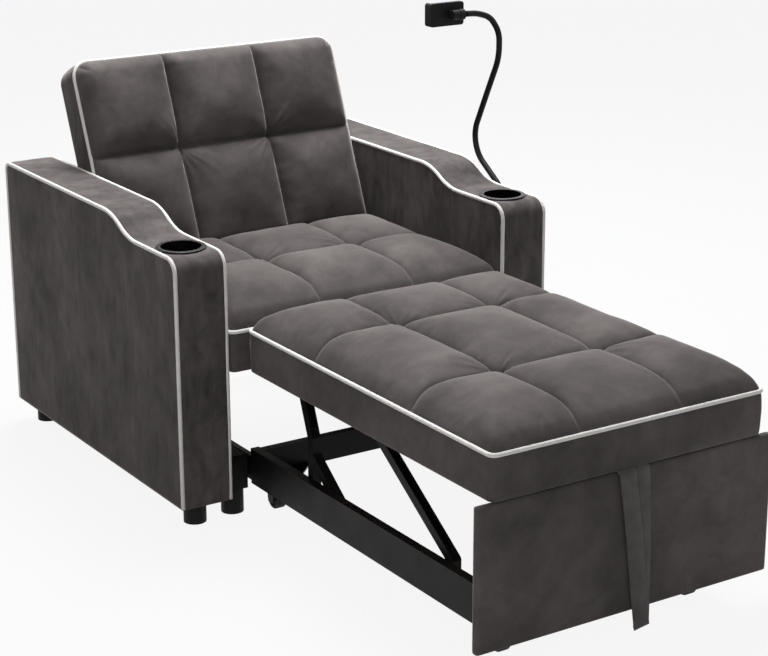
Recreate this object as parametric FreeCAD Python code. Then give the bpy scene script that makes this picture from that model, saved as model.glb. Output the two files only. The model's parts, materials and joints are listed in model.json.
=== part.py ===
import FreeCAD, Part

import math
import os

from FreeCAD import Vector

# Convertible chair bed, drawn in its extended state: back upright, bed frame pulled out, leg pad raised.
# Lengths are millimetres. X runs across the chair, Y runs from the bed end towards the back, Z is up.
# Drawing frame: X = 0 is the middle between the arms, Y = 0 is the front of the arms, Z = 0 is the floor.

# Overall layout
HALF_WIDTH = 425.0
ARM_WIDTH = 106.0
ARM_DEPTH = 777.0
ARM_BOTTOM = 50.0
ARM_TOP_REAR = 582.0
ARM_TOP_FRONT = 545.0
SLOPE_FRONT_Y = 160.0
SLOPE_REAR_Y = 300.0
ARM_FRONT_RADIUS = 30.0
ARM_REAR_RADIUS = 14.0
INNER_RADIUS = 2.0
ARM_WALL = 14.0
BOARD = 18.0
PANEL_BOARD = 12.0
FABRIC = 3.0
GAP = 0.3
BOLT_GAP = 0.15
ARM_INNER = HALF_WIDTH - ARM_WIDTH
REAR_INSET = 2.0

# Piping
PIPING_RADIUS = 3.75
PIPING_INSET = 1.5

# Cup holders
CUP_X = HALF_WIDTH - ARM_WIDTH / 2
CUP_Y = 75.0
CUP_BORE_RADIUS = 38.75
CUP_WALL = 1.75
CUP_DEPTH = 66.0
CUP_FLANGE_RADIUS = 48.0
CUP_FLANGE_HEIGHT = 4.0
CUP_BOTTOM = 3.0

# Feet
FOOT_RADIUS = 22.5
ARM_FOOT_INSET = (54.0, 27.0)
ARM_FOOT_Y = (ARM_FOOT_INSET[0], ARM_DEPTH - ARM_FOOT_INSET[1])

# Base rails and slide guides
BASE_RAIL_WIDTH = 57.0
BASE_RAIL_TOP = 118.0
BASE_RAIL_FRONT = 38.0
BASE_RAIL_REAR_GAP = 12.0
BASE_RAIL_RADIUS = 10.0
BASE_FOOT_INSET = (22.0, 30.0)
BASE_FOOT_SIDE = 24.0
BASE_RAIL_INNER = ARM_INNER - BASE_RAIL_WIDTH
BASE_RAIL_REAR = ARM_DEPTH - REAR_INSET - BOARD - BASE_RAIL_REAR_GAP
BASE_FOOT_X = BASE_RAIL_INNER + BASE_FOOT_SIDE
BASE_FOOT_Y = (BASE_RAIL_FRONT + BASE_FOOT_INSET[0], BASE_RAIL_REAR - BASE_FOOT_INSET[1])
TONGUE_FRONT = -150.0
TONGUE_REAR = 200.0
TONGUE_TOP = 110.0
TONGUE_BRACKET_FRONT = 90.0
GUIDE_PLATE = 4.0
TONGUE_RISE = 4.0
TONGUE_SOLE_GAP = 2.0
TONGUE_SIDE_DROP = 20.0

# Seat
SEAT_SIDE_GAP = 4.0
SEAT_FRONT = -6.0
SEAT_REAR = 484.0
SEAT_BOTTOM = 308.0
SEAT_DECK = 350.0
SEAT_PIPING = 388.0
SEAT_TOP = 475.0
SEAT_ROWS = (236.0,)
CUSHION_CORNER = 14.0
SEAT_BRACKET_LENGTH = 80.0
SEAT_BRACKET_Y = (60.0, 380.0)
SEAT_BRACKET_DROP = 54.0
SEAT_BRACKET_REACH = 45.0
SEAT_BOLT_END = 20.0
SEAT_BOLT_DROP = 30.0
SEAT_BOLT_LENGTH = 30.0
BRACKET_PLATE = 4.0
REAR_PANEL_BOTTOM = 60.0
REAR_PANEL_TOP = 300.0
SEAT_HALF = ARM_INNER - SEAT_SIDE_GAP

# Backrest, drawn upright around its hinge line and then leaned back
HINGE_SETBACK = 32.0
HINGE_Z = 374.0
BACK_LEAN = 22.0
BACK_SIDE_GAP = 5.0
BACK_LOW = 18.0
BACK_TOP = 452.0
BACK_FRONT = 20.0
BACK_REAR = -57.0
BACK_CROWN = 25.0
BACK_CORNER = 35.0
BACK_FOAM_SIDE = 11.5
BACK_FRAME_FRONT = -4.0
HINGE_PLATE = 4.0
HINGE_SIDE_GAP = 0.5
HINGE_DISC = 14.0
HINGE_PIN_RADIUS = 5.0
HINGE_ARM_LENGTH = 150.0
HINGE_ARM_WIDTH = 40.0
HINGE_ARM_INSET = 2.0
HINGE_ARM_NECK = 10.0
HINGE_ARM_BOLTS = (40.0, 20.0)
HINGE_FLANGE_WIDTH = 30.0
HINGE_FLANGE_LIFT = 4.0
HINGE_BOLT_INSET = 12.0
HINGE_BOLT_ENDS = (13.0, 10.0)
PIN_HEAD_LIP = 3.0
PIN_END_GAP = 0.2
HINGE_Y = SEAT_REAR + HINGE_SETBACK
BACK_HALF = ARM_INNER - BACK_SIDE_GAP
HINGE_BLADE = BACK_HALF - BACK_FOAM_SIDE - BOARD - HINGE_PLATE
HINGE_PLATE_INNER = HINGE_BLADE - HINGE_SIDE_GAP - HINGE_PLATE

# Leg pad
PAD_SIDE_GAP = 30.0
PAD_LENGTH = 788.0
PAD_SEAT_GAP = 18.0
PAD_BOTTOM = 317.0
PAD_DECK = 350.0
PAD_PIPING = 394.0
PAD_TOP = 469.0
PAD_ROWS = (-574.0, -262.0)
PAD_HALF = ARM_INNER - PAD_SIDE_GAP
PAD_REAR = SEAT_FRONT - PAD_SEAT_GAP
PAD_FRONT = PAD_REAR - PAD_LENGTH

# Quilting of seat and pad: the seams and the outer edge lie below the crests of the puffs
COLUMN_SEAM = 108.0
QUILT_SEAM_DROP = 17.0
QUILT_SIDE_DROP = 9.0
QUILT_EDGE_DROP = 64.0
ROW_CREST_RISE = 3.0
TRIM = 1.0

# Pull-out bed frame
RAIL_SIDE_GAP = 10.0
RAIL_WIDTH = 18.0
RAIL_WALL = 3.0
RAIL_BOTTOM = 56.0
RAIL_TOP = 129.0
RAIL_REAR = 42.0
CROSSBAR_FRONT = 20.0
CROSSBAR_DEPTH = 18.0
CROSSBAR_BOTTOM = 76.0
CROSSBAR_WALL = 2.0
BRACE_LEG = 105.0
BRACE_LIFT = 2.0
CROSSBAR_TOP_GAP = 1.0
PANEL_SIDE_GAP = 5.0
PANEL_DEPTH = 16.0
PANEL_BOTTOM = 52.0
PANEL_TOP = 303.0
PANEL_WRAP = 4.0
PANEL_BRACKET_DEPTH = 36.0
PANEL_BRACKET_WIDTH = 40.0
PANEL_BRACKET_INSET = 4.0
PANEL_BOLT_SIDE = 26.0
PANEL_BOLT_END = 20.0
PANEL_BOLT_LENGTH = 12.0
RAIL_OUTER = BASE_RAIL_INNER - RAIL_SIDE_GAP
RAIL_INNER = RAIL_OUTER - RAIL_WIDTH
PANEL_HALF = ARM_INNER - PANEL_SIDE_GAP
PANEL_FRONT = PAD_FRONT
PANEL_BACK = PANEL_FRONT + PANEL_DEPTH

# Pull strap
STRAP_X = -14.0
STRAP_FOOT_X = 26.0
STRAP_WIDTH = 32.0
STRAP_THICK = 2.0
STRAP_FOOT = 18.0
STRAP_TAB = 12.0
STRAP_SEAM = 14.0

# Wheels
WHEEL_RADIUS = 22.0
WHEEL_WIDTH = 20.0
WHEEL_INSET = 29.0
WHEEL_RAIL_INSET = (18.0, 71.0)
WHEEL_FILLET = 2.5
WHEEL_RIM = 6.0
WHEEL_RECESS = 3.0
AXLE_RADIUS = 4.0
FORK_GAP = 2.0
FORK_PLATE = 3.0
FORK_LENGTH = 30.0
FORK_TOP = 51.0
FORK_TIP = 9.0
FORK_TIP_DROP = 8.0
HUB_WALL = 4.0
WHEEL_X = RAIL_INNER - WHEEL_INSET
WHEEL_Y = (RAIL_REAR - WHEEL_RAIL_INSET[0], PANEL_BACK + WHEEL_RAIL_INSET[1])

# Lifting linkage, as (Y, Z) points of its pivots
LEVER_FOOT = (-245.0, 100.0)
LEVER_HEAD = (-98.0, 336.0)
LEVER_KINK = (-149.0, 205.0)
LEVER_JOIN = (-150.0, 170.0)
LEVER_LEG_END = 100.0
LINK_FOOT = (-612.0, 95.0)
LINK_BEND = (-612.0, 127.0)
LINK_HEAD = (-300.0, 336.0)
LINK_SIDE_GAP = 0.5
LINK_WIDTH = 18.0
LINK_DEPTH = 18.0
LINK_WALL = 2.5
LINK_PIN_RADIUS = 5.0
LINK_OUTER = RAIL_INNER - BRACKET_PLATE - LINK_SIDE_GAP
ROLLER_RADIUS = 8.0
ROLLER_WIDTH = 10.0
ROLLER_TRAVEL = 50.0
ROLLER_DROP = 8.0
CHANNEL_WALL = 2.5
CHANNEL_PLAY = 3.0
ROLLER_SIDE_GAP = 1.5
CHANNEL_SIDE_GAP = 1.0
PIVOT_PLATE_BACK = 30.0
PIVOT_PLATE_FRONT = 26.0
PIVOT_PLATE_RISE = 22.0
PIVOT_PLATE_TOP = (-8.0, 10.0)
PIVOT_PLATE_STEP = 4.0
PIVOT_PLATE_FOOT = 6.0
HEAD_PLATE_HALF = 26.0
HEAD_PLATE_TIP = 12.0
HEAD_FLANGE = 30.0
HEAD_BOLT_SPREAD = 16.0
HEAD_BOLT_SIDE = 20.0
HEAD_BOLT_LENGTH = 12.0

# Phone holder
NECK_RADIUS = 6.25
NECK_POINTS = (
    (15.0, 165.0, 458.0),
    (15.0, 165.0, 527.0),
    (15.0, 289.0, 608.0),
    (15.0, 232.0, 722.0),
    (16.0, 189.0, 808.0),
    (16.0, 189.0, 862.0),
    (-8.0, 189.0, 896.0),
    (-42.0, 190.0, 906.0),
    (-67.0, 190.0, 907.0),
)
NECK_ROUTE = tuple((HALF_WIDTH + x, y, z) for x, y, z in NECK_POINTS)
SOCKET_TOP = 512.0
SOCKET_RADIUS = 11.0
SOCKET_FLOOR = 8.0
SOCKET_RIB = 5.0
PHONE_PLATE_HALF = 24.0
PHONE_PLATE_DROP = 4.0
PHONE_BOLT_SPREAD = 17.0
PHONE_BOLT_LENGTH = 28.0
NECK_GAP = 0.35
BALL_REACH = 13.0
BALL_CENTRE = (NECK_ROUTE[-1][0] - BALL_REACH, *NECK_ROUTE[-1][1:])
BALL_RADIUS = 6.5
STEM_RADIUS = 3.5
NUT_RADIUS = 11.0
NUT_BACK = 7.0
NUT_FRONT = 5.0
NUT_LIP = 2.0
CLAMP_WIDTH = 83.0
CLAMP_OVERHANG = 17.0
CLAMP_HALF_HEIGHT = 24.0
CLAMP_SETBACK = 16.0
CLAMP_NECK = 14.0
CLAMP_NECK_HALF = 8.0
CLAMP_SOCKET = 16.0
CLAMP_THICK = 10.0
JAW_WIDTH = 7.0
JAW_REACH = 20.0
JAW_TONGUE = 40.0
JAW_TONGUE_HALF = 10.0
JAW_TONGUE_THICK = 5.0
CLAMP_CORNER = 6.0
CLAMP_RIGHT = BALL_CENTRE[0] + CLAMP_OVERHANG
CLAMP_LEFT = CLAMP_RIGHT - CLAMP_WIDTH
CLAMP_BACK = BALL_CENTRE[1] + CLAMP_SETBACK

# Bolts
BOLT_RADIUS = 3.0
BOLT_HEAD_RADIUS = 6.0
BOLT_HEAD = 3.5

nodes = {}


# Basic shapes
def block(x, y, z):
    return Part.makeBox(x[1] - x[0], y[1] - y[0], z[1] - z[0], Vector(x[0], y[0], z[0]))


def rod(start, end, radius):
    start = Vector(*start)
    run = Vector(*end) - start
    return Part.makeCylinder(radius, run.Length, start, run)


def plate_yz(points, x):
    corners = [Vector(x[0], y, z) for y, z in points]
    face = Part.Face(Part.makePolygon(corners + corners[:1]))
    return face.extrude(Vector(x[1] - x[0], 0, 0))


def mirrored(shape):
    return shape.mirror(Vector(0, 0, 0), Vector(1, 0, 0))


def pair(shape):
    return Part.makeCompound([shape, mirrored(shape)])


def joined(shapes):
    return shapes[0].fuse(shapes[1:]).removeSplitter()


def rounded_box(x, y, z, corner):
    shape = block(x, y, z)
    upright = [e for e in shape.Edges if abs(e.Vertexes[0].Z - e.Vertexes[1].Z) > 1]
    return shape.makeFillet(corner, upright)


def unit(vector):
    return vector * (1.0 / vector.Length)


# A wire of straight runs joined by tangent arcs; each arc is as large as its two runs allow
def bent_wire(points, radii=None):
    points = [Vector(*p) for p in points]
    edges = []
    at = points[0]
    for i in range(1, len(points) - 1):
        before = unit(points[i - 1] - points[i])
        after = unit(points[i + 1] - points[i])
        half_turn = (math.pi - before.getAngle(after)) / 2
        shorter = min((points[i - 1] - points[i]).Length, (points[i + 1] - points[i]).Length)
        radius = radii[i - 1] if radii else 0.45 * shorter / math.tan(half_turn)
        reach = radius * math.tan(half_turn)
        first = points[i] + before * reach
        last = points[i] + after * reach
        bisector = unit(before + after)
        middle = points[i] + bisector * (radius / math.cos(half_turn) - radius)
        if (first - at).Length > 1e-6:
            edges.append(Part.LineSegment(at, first).toShape())
        edges.append(Part.Arc(first, middle, last).toShape())
        at = last
    edges.append(Part.LineSegment(at, points[-1]).toShape())
    return Part.Wire(edges)


def tube_along(wire, radius):
    start = wire.Edges[0].valueAt(wire.Edges[0].FirstParameter)
    heading = wire.Edges[0].tangentAt(wire.Edges[0].FirstParameter)
    profile = Part.Wire([Part.makeCircle(radius, start, heading)])
    return wire.makePipeShell([profile], True, False)


# Fasteners: a round head on the surface and a shank that goes on from it along the given direction
def bolt(head, direction, length):
    head = Vector(*head)
    direction = unit(Vector(*direction))
    shank = Part.makeCylinder(BOLT_RADIUS, length, head, direction)
    cap = Part.makeCylinder(BOLT_HEAD_RADIUS, BOLT_HEAD, head, direction * -1)
    return shank.fuse(cap).removeSplitter()


def drill(names, head, direction, length):
    cutter = Part.makeCylinder(BOLT_RADIUS + BOLT_GAP, length + GAP, Vector(*head), unit(Vector(*direction)))
    for name in names:
        nodes[name] = nodes[name].cut(cutter)


def drill_pair(names, head, direction, length):
    drill(names, head, direction, length)
    drill(names, (-head[0], head[1], head[2]), (-direction[0], direction[1], direction[2]), length)


def bolt_pair(head, direction, length):
    one = bolt(head, direction, length)
    return [one, mirrored(one)]


# Arm: the outline of its side, inset by a margin, from the front foot over the top to the rear foot
def arm_outline(x, inset, z_front, z_rear):
    run = SLOPE_REAR_Y - SLOPE_FRONT_Y
    rise = ARM_TOP_REAR - ARM_TOP_FRONT
    slope_radius = (run ** 2 + rise ** 2) / (4 * rise)
    half = math.asin(run / 2 / slope_radius)

    def at(centre, radius, angle):
        return Vector(x, centre[0] + radius * math.cos(angle), centre[1] + radius * math.sin(angle))

    def arc(centre, radius, start, end):
        points = [at(centre, radius, a) for a in (start, (start + end) / 2, end)]
        return Part.Arc(*points).toShape()

    up = math.pi / 2
    front_radius = max(ARM_FRONT_RADIUS - inset, INNER_RADIUS)
    rear_radius = max(ARM_REAR_RADIUS - inset, INNER_RADIUS)
    front = (inset + front_radius, ARM_TOP_FRONT - inset - front_radius)
    low = (SLOPE_FRONT_Y, ARM_TOP_FRONT + slope_radius)
    high = (SLOPE_REAR_Y, ARM_TOP_REAR - slope_radius)
    rear = (ARM_DEPTH - inset - rear_radius, ARM_TOP_REAR - inset - rear_radius)
    curves = [
        arc(front, front_radius, 2 * up, up),
        arc(low, slope_radius + inset, -up, -up + half),
        arc(high, slope_radius - inset, up + half, up),
        arc(rear, rear_radius, up, 0),
    ]
    ends = [Vector(x, inset, z_front), Vector(x, ARM_DEPTH - inset, z_rear)]
    edges = []
    at_point = ends[0]
    for curve in curves:
        start = curve.valueAt(curve.FirstParameter)
        if (start - at_point).Length > 1e-6:
            edges.append(Part.LineSegment(at_point, start).toShape())
        edges.append(curve)
        at_point = curve.valueAt(curve.LastParameter)
    edges.append(Part.LineSegment(at_point, ends[1]).toShape())
    return edges, ends


def arm_solid(x, inset, bottom):
    edges, ends = arm_outline(x[0], inset, bottom, bottom)
    closing = Part.LineSegment(ends[1], ends[0]).toShape()
    return Part.Face(Part.Wire(edges + [closing])).extrude(Vector(x[1] - x[0], 0, 0))


def arm():
    inner = (ARM_INNER + ARM_WALL, HALF_WIDTH - ARM_WALL)
    cover = arm_solid((ARM_INNER, HALF_WIDTH), 0, ARM_BOTTOM)
    frame = arm_solid(inner, ARM_WALL, ARM_BOTTOM + ARM_WALL)
    cover = cover.cut(frame)
    window = block(inner, (ARM_WALL + BOARD, ARM_DEPTH - ARM_WALL - BOARD),
                   (ARM_BOTTOM + ARM_WALL + BOARD, ARM_TOP_FRONT - ARM_WALL - BOARD))
    frame = frame.cut(window)
    well = rod((CUP_X, CUP_Y, ARM_BOTTOM + ARM_WALL + BOARD), (CUP_X, CUP_Y, ARM_TOP_FRONT + GAP),
               CUP_BORE_RADIUS + CUP_WALL + GAP)
    cover = cover.cut(well)
    frame = frame.cut(well)
    pipes = []
    for x in (ARM_INNER + PIPING_INSET, HALF_WIDTH - PIPING_INSET):
        outer = x > CUP_X
        edges = arm_outline(x, PIPING_INSET, ARM_BOTTOM + 2, ARM_BOTTOM + 2)[0]
        if not outer:
            edges = edges[:-2]
        wire = Part.Wire(edges)
        pipes.append(tube_along(wire, PIPING_RADIUS))
        cover = cover.cut(tube_along(wire, PIPING_RADIUS + GAP))
    return cover, frame, Part.makeCompound(pipes)


def cup_holder():
    outer = CUP_BORE_RADIUS + CUP_WALL
    top = ARM_TOP_FRONT + CUP_FLANGE_HEIGHT
    floor = top - CUP_DEPTH - CUP_BOTTOM
    body = rod((CUP_X, CUP_Y, floor), (CUP_X, CUP_Y, top), outer)
    flange = rod((CUP_X, CUP_Y, ARM_TOP_FRONT), (CUP_X, CUP_Y, top), CUP_FLANGE_RADIUS)
    rim = [e for e in flange.Edges if abs(e.CenterOfMass.z - top) < 0.1 and e.Length > 10]
    flange = flange.makeFillet(CUP_FLANGE_HEIGHT * 0.6, rim)
    return joined([body, flange]).cut(rod((CUP_X, CUP_Y, top - CUP_DEPTH), (CUP_X, CUP_Y, top + 1), CUP_BORE_RADIUS))


# Upholstered box: board ring, deck, fabric skirt, piping and a quilted cushion
def upholstered_box(half, y, z, rows, closed):
    bottom, deck, piping, top = z
    seam = piping - PIPING_RADIUS - GAP
    inner_x = (FABRIC - half, half - FABRIC)
    inner_y = (y[0] + FABRIC, y[1] - FABRIC)

    def core(low, high):
        return rounded_box(inner_x, inner_y, (low, high), CUSHION_CORNER - FABRIC)

    hollow = block((inner_x[0] + BOARD, inner_x[1] - BOARD), (inner_y[0] + BOARD, inner_y[1] - BOARD), (bottom, deck))
    frame = core(bottom, deck).cut(hollow)
    board = core(deck, deck + PANEL_BOARD)
    skirt = rounded_box((-half, half), y, (bottom, seam), CUSHION_CORNER).cut(core(bottom, seam))
    if not closed:
        skirt = skirt.cut(block((-half, half), (y[1] - CUSHION_CORNER, y[1]), (bottom, seam)))
    lower = core(deck + PANEL_BOARD, piping)
    cushion = joined([lower, quilted(half, y, (piping, top), rows)])
    wire = piping_loop(half, y, piping, closed)
    groove = tube_along(wire, PIPING_RADIUS + GAP)
    return frame, board, skirt.cut(groove), cushion.cut(groove), tube_along(wire, PIPING_RADIUS)


# Cushion top: puffs between seams, where a profile across the columns meets one along the rows
def quilted(half, y, z, rows):
    low, crest = z
    body = rounded_box((-half, half), y, (low, crest + TRIM), CUSHION_CORNER)
    across = crowned((-half, -COLUMN_SEAM, COLUMN_SEAM, half), low, (crest, crest - QUILT_EDGE_DROP),
                     lambda x, h: Vector(x, y[0] - TRIM, h), Vector(0, y[1] - y[0] + 2 * TRIM, 0))
    along = crowned((y[0], *rows, y[1]), low, (crest + ROW_CREST_RISE, crest - QUILT_EDGE_DROP),
                    lambda v, h: Vector(-half - TRIM, v, h), Vector(2 * half + 2 * TRIM, 0, 0))
    return body.common(across).common(along)


# Prism under a row of arcs: each goes from seam to seam over its crest, the outer ones down to the edge
def crowned(lines, low, levels, point, run):
    crest, edge = levels
    seam = crest - QUILT_SEAM_DROP
    side = crest - QUILT_SIDE_DROP
    knots = list(zip(lines, [edge] + [seam] * (len(lines) - 2) + [edge]))
    tops = [side] + [crest] * (len(lines) - 3) + [side]
    edges = []
    for (a, from_height), (b, to_height), top in zip(knots, knots[1:], tops):
        edges.append(Part.Arc(point(a, from_height), point((a + b) / 2, top), point(b, to_height)).toShape())
    first = lines[0] - TRIM
    last = lines[-1] + TRIM
    corners = [knots[-1], (last, edge), (last, low - TRIM), (first, low - TRIM), (first, edge), knots[0]]
    for start, end in zip(corners, corners[1:]):
        edges.append(Part.LineSegment(point(*start), point(*end)).toShape())
    return Part.Face(Part.Wire(edges)).extrude(run)


def piping_loop(half, y, z, closed):
    left = -half + PIPING_INSET
    front = y[0] + PIPING_INSET
    rear = y[1] - PIPING_INSET
    corner = CUSHION_CORNER - PIPING_INSET
    if not closed:
        rear = y[1] - CUSHION_CORNER
        return bent_wire([(left, rear, z), (left, front, z), (-left, front, z), (-left, rear, z)], [corner] * 2)
    middle = (y[0] + y[1]) / 2
    route = [(left, middle, z), (left, front, z), (-left, front, z), (-left, rear, z), (left, rear, z)]
    return bent_wire(route + [(left, middle, z)], [corner] * 4)


# Backrest pieces are drawn with the hinge line at the origin and then placed
def placed_back(shape):
    shape = shape.copy()
    shape.rotate(Vector(0, 0, 0), Vector(1, 0, 0), -BACK_LEAN)
    shape.translate(Vector(0, HINGE_Y, HINGE_Z))
    return shape


def backrest():
    # In the upright drawing, the front of the back is towards -Y
    frame_half = BACK_HALF - BACK_FOAM_SIDE
    frame_y = (-BACK_FRAME_FRONT, -BACK_REAR - FABRIC)
    frame_top = BACK_TOP - BACK_FOAM_SIDE
    frame = block((-frame_half, frame_half), frame_y, (BACK_LOW, frame_top))
    window = block((-frame_half + BOARD, frame_half - BOARD), frame_y, (BACK_LOW + BOARD, frame_top - BOARD))
    cover = back_outline(-BACK_FRAME_FRONT, -BACK_REAR).cut(frame)
    blade_slots = pair(block((HINGE_BLADE - GAP, HINGE_BLADE + HINGE_PLATE), frame_y, (BACK_LOW, BACK_LOW + BOARD)))
    frame = frame.cut(window).cut(blade_slots)
    cushion = back_outline(-BACK_FRONT - BACK_CROWN, -BACK_FRAME_FRONT)
    front_edges = [e for e in cushion.Edges if all(v.Y < -BACK_FRONT - BACK_CROWN + 0.1 for v in e.Vertexes)]
    cushion = cushion.makeFillet(BACK_CROWN - 1, front_edges)
    left = -BACK_HALF + PIPING_INSET
    top = BACK_TOP - PIPING_INSET
    route = [(left, -BACK_FRONT, BACK_LOW + 2), (left, -BACK_FRONT, top), (-left, -BACK_FRONT, top),
             (-left, -BACK_FRONT, BACK_LOW + 2)]
    wire = bent_wire(route, [BACK_CORNER - PIPING_INSET] * 2)
    piping = tube_along(wire, PIPING_RADIUS)
    cushion = cushion.cut(tube_along(wire, PIPING_RADIUS + GAP))
    nodes["back_frame"] = frame
    nodes["back_cover"] = cover
    nodes["back_cushion"] = cushion
    nodes["back_piping"] = piping
    nodes["back_hinge_arms"] = pair(hinge_arm())
    bolts = []
    bolt_y = HINGE_ARM_INSET - BACK_FRAME_FRONT + HINGE_ARM_WIDTH / 2
    for height in (BACK_LOW + HINGE_ARM_BOLTS[0], HINGE_ARM_LENGTH - HINGE_ARM_BOLTS[1]):
        head = (HINGE_BLADE, bolt_y, height)
        bolts += bolt_pair(head, (1, 0, 0), BOARD)
        drill_pair(["back_hinge_arms", "back_frame"], head, (1, 0, 0), BOARD)
    nodes["back_bolts"] = Part.makeCompound(bolts)
    for name in ("back_frame", "back_cover", "back_cushion", "back_piping", "back_hinge_arms", "back_bolts"):
        nodes[name] = placed_back(nodes[name])


def back_outline(front, rear):
    shape = block((-BACK_HALF, BACK_HALF), (front, rear), (BACK_LOW, BACK_TOP))
    corners = [e for e in shape.Edges
               if abs(e.Vertexes[0].Y - e.Vertexes[1].Y) > 1 and e.CenterOfMass.z > BACK_TOP - 1]
    return shape.makeFillet(BACK_CORNER, corners)


def hinge_arm():
    x = (HINGE_BLADE, HINGE_BLADE + HINGE_PLATE)
    near = -BACK_FRAME_FRONT + HINGE_ARM_INSET
    far = near + HINGE_ARM_WIDTH
    blade = plate_yz([(near, BACK_LOW), (near, HINGE_ARM_LENGTH), (far, HINGE_ARM_LENGTH), (far, BACK_LOW),
                      (HINGE_DISC, 0), (0, -HINGE_DISC), (-HINGE_ARM_NECK, 0), (0, HINGE_DISC)], x)
    disc = rod((x[0], 0, 0), (x[1], 0, 0), HINGE_DISC)
    hole = rod((x[0] - 1, 0, 0), (x[1] + 1, 0, 0), HINGE_PIN_RADIUS + BOLT_GAP)
    return joined([blade, disc]).cut(hole)


def hinge_plate():
    x = (HINGE_PLATE_INNER, HINGE_PLATE_INNER + HINGE_PLATE)
    face = SEAT_REAR - FABRIC
    low = SEAT_BOTTOM + HINGE_FLANGE_LIFT
    web = plate_yz([(face, low), (face, SEAT_DECK), (HINGE_Y, HINGE_Z + HINGE_DISC),
                    (HINGE_Y, HINGE_Z - HINGE_DISC)], x)
    disc = rod((x[0], HINGE_Y, HINGE_Z), (x[1], HINGE_Y, HINGE_Z), HINGE_DISC)
    flange = block((x[1] - HINGE_FLANGE_WIDTH, x[1]), (face, face + HINGE_PLATE), (low, SEAT_DECK))
    hole = rod((x[0] - 1, HINGE_Y, HINGE_Z), (x[1] + 1, HINGE_Y, HINGE_Z), HINGE_PIN_RADIUS + BOLT_GAP)
    return joined([web, disc, flange]).cut(hole)


def hinge_pin():
    x0 = HINGE_PLATE_INNER - BOLT_HEAD - PIN_END_GAP
    x1 = HINGE_BLADE + HINGE_PLATE + PIN_END_GAP
    shank = rod((x0, HINGE_Y, HINGE_Z), (x1 + BOLT_HEAD, HINGE_Y, HINGE_Z), HINGE_PIN_RADIUS)
    heads = [rod((x, HINGE_Y, HINGE_Z), (x + BOLT_HEAD, HINGE_Y, HINGE_Z), HINGE_PIN_RADIUS + PIN_HEAD_LIP)
             for x in (x0, x1)]
    return joined([shank] + heads)


# Links of the lifting linkage: a bar of U section along a bent centre line, with round ends
def bar_outline(points, width, x):
    shapes = []
    for start, end in zip(points, points[1:]):
        dy = end[0] - start[0]
        dz = end[1] - start[1]
        length = math.hypot(dy, dz)
        ny = -dz / length * width / 2
        nz = dy / length * width / 2
        shapes.append(plate_yz([(start[0] + ny, start[1] + nz), (end[0] + ny, end[1] + nz),
                                (end[0] - ny, end[1] - nz), (start[0] - ny, start[1] - nz)], x))
    for y, z in points:
        shapes.append(rod((x[0], y, z), (x[1], y, z), width / 2))
    return joined(shapes)


def groove_block(start, end, margin):
    # A slot along a run of a bar, cut from its upper side, that leaves walls and a web
    dy = end[0] - start[0]
    dz = end[1] - start[1]
    length = math.hypot(dy, dz)
    uy = dy / length
    uz = dz / length
    ny = -uz
    nz = uy
    deep = LINK_DEPTH / 2 - LINK_WALL
    corners = [(start[0] + uy * margin - ny * deep, start[1] + uz * margin - nz * deep),
               (end[0] - uy * margin - ny * deep, end[1] - uz * margin - nz * deep),
               (end[0] - uy * margin + ny * LINK_DEPTH, end[1] - uz * margin + nz * LINK_DEPTH),
               (start[0] + uy * margin + ny * LINK_DEPTH, start[1] + uz * margin + nz * LINK_DEPTH)]
    return plate_yz(corners, (LINK_OUTER - LINK_WIDTH + LINK_WALL, LINK_OUTER - LINK_WALL))


def front_link():
    x = (LINK_OUTER - LINK_WIDTH, LINK_OUTER)
    bar = bar_outline([LINK_FOOT, LINK_BEND, LINK_HEAD], LINK_DEPTH, x)
    bar = bar.cut(groove_block(LINK_BEND, LINK_HEAD, LINK_DEPTH))
    stub = rod((x[0] - ROLLER_WIDTH - CHANNEL_PLAY, *LINK_HEAD), (x[0], *LINK_HEAD), LINK_PIN_RADIUS)
    return joined([bar, stub]).cut(pivot_hole(LINK_FOOT))


def rear_lever():
    x = (LINK_OUTER - LINK_WIDTH, LINK_OUTER)
    leg = (LEVER_KINK[0], LEVER_LEG_END)
    bar = bar_outline([leg, LEVER_KINK, LEVER_HEAD], LINK_DEPTH, x)
    brace = bar_outline([LEVER_FOOT, LEVER_JOIN], LINK_DEPTH, x)
    lever = joined([bar, brace])
    lever = lever.cut(groove_block(LEVER_KINK, LEVER_HEAD, LINK_DEPTH))
    return lever.cut(pivot_hole(LEVER_FOOT)).cut(pivot_hole(LEVER_HEAD))


def pivot_hole(point):
    return rod((LINK_OUTER - LINK_WIDTH - 1, *point), (LINK_OUTER + 1, *point), LINK_PIN_RADIUS + BOLT_GAP)


def link_roller():
    x1 = LINK_OUTER - LINK_WIDTH - ROLLER_SIDE_GAP
    x0 = x1 - ROLLER_WIDTH
    roller = rod((x0, *LINK_HEAD), (x1, *LINK_HEAD), ROLLER_RADIUS)
    return roller.cut(rod((x0 - 1, *LINK_HEAD), (x1 + 1, *LINK_HEAD), LINK_PIN_RADIUS + BOLT_GAP))


def foot_pin(point):
    # Riveted through the pivot bracket and the rail's inner wall, with a flat head inboard of the link
    x0 = LINK_OUTER - LINK_WIDTH - GAP - BOLT_HEAD
    shank = rod((x0, *point), (RAIL_INNER + RAIL_WALL, *point), LINK_PIN_RADIUS)
    head = rod((x0, *point), (x0 + BOLT_HEAD, *point), LINK_PIN_RADIUS + PIN_HEAD_LIP)
    return joined([shank, head])


def foot_bracket(point):
    y, z = point
    low = RAIL_BOTTOM + PIVOT_PLATE_FOOT
    top = z + PIVOT_PLATE_RISE
    return plate_yz([(y - PIVOT_PLATE_BACK, low), (y - PIVOT_PLATE_BACK, z + PIVOT_PLATE_STEP),
                     (y + PIVOT_PLATE_TOP[0], top), (y + PIVOT_PLATE_TOP[1], top),
                     (y + PIVOT_PLATE_FRONT, low)], (RAIL_INNER - BRACKET_PLATE, RAIL_INNER))


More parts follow.
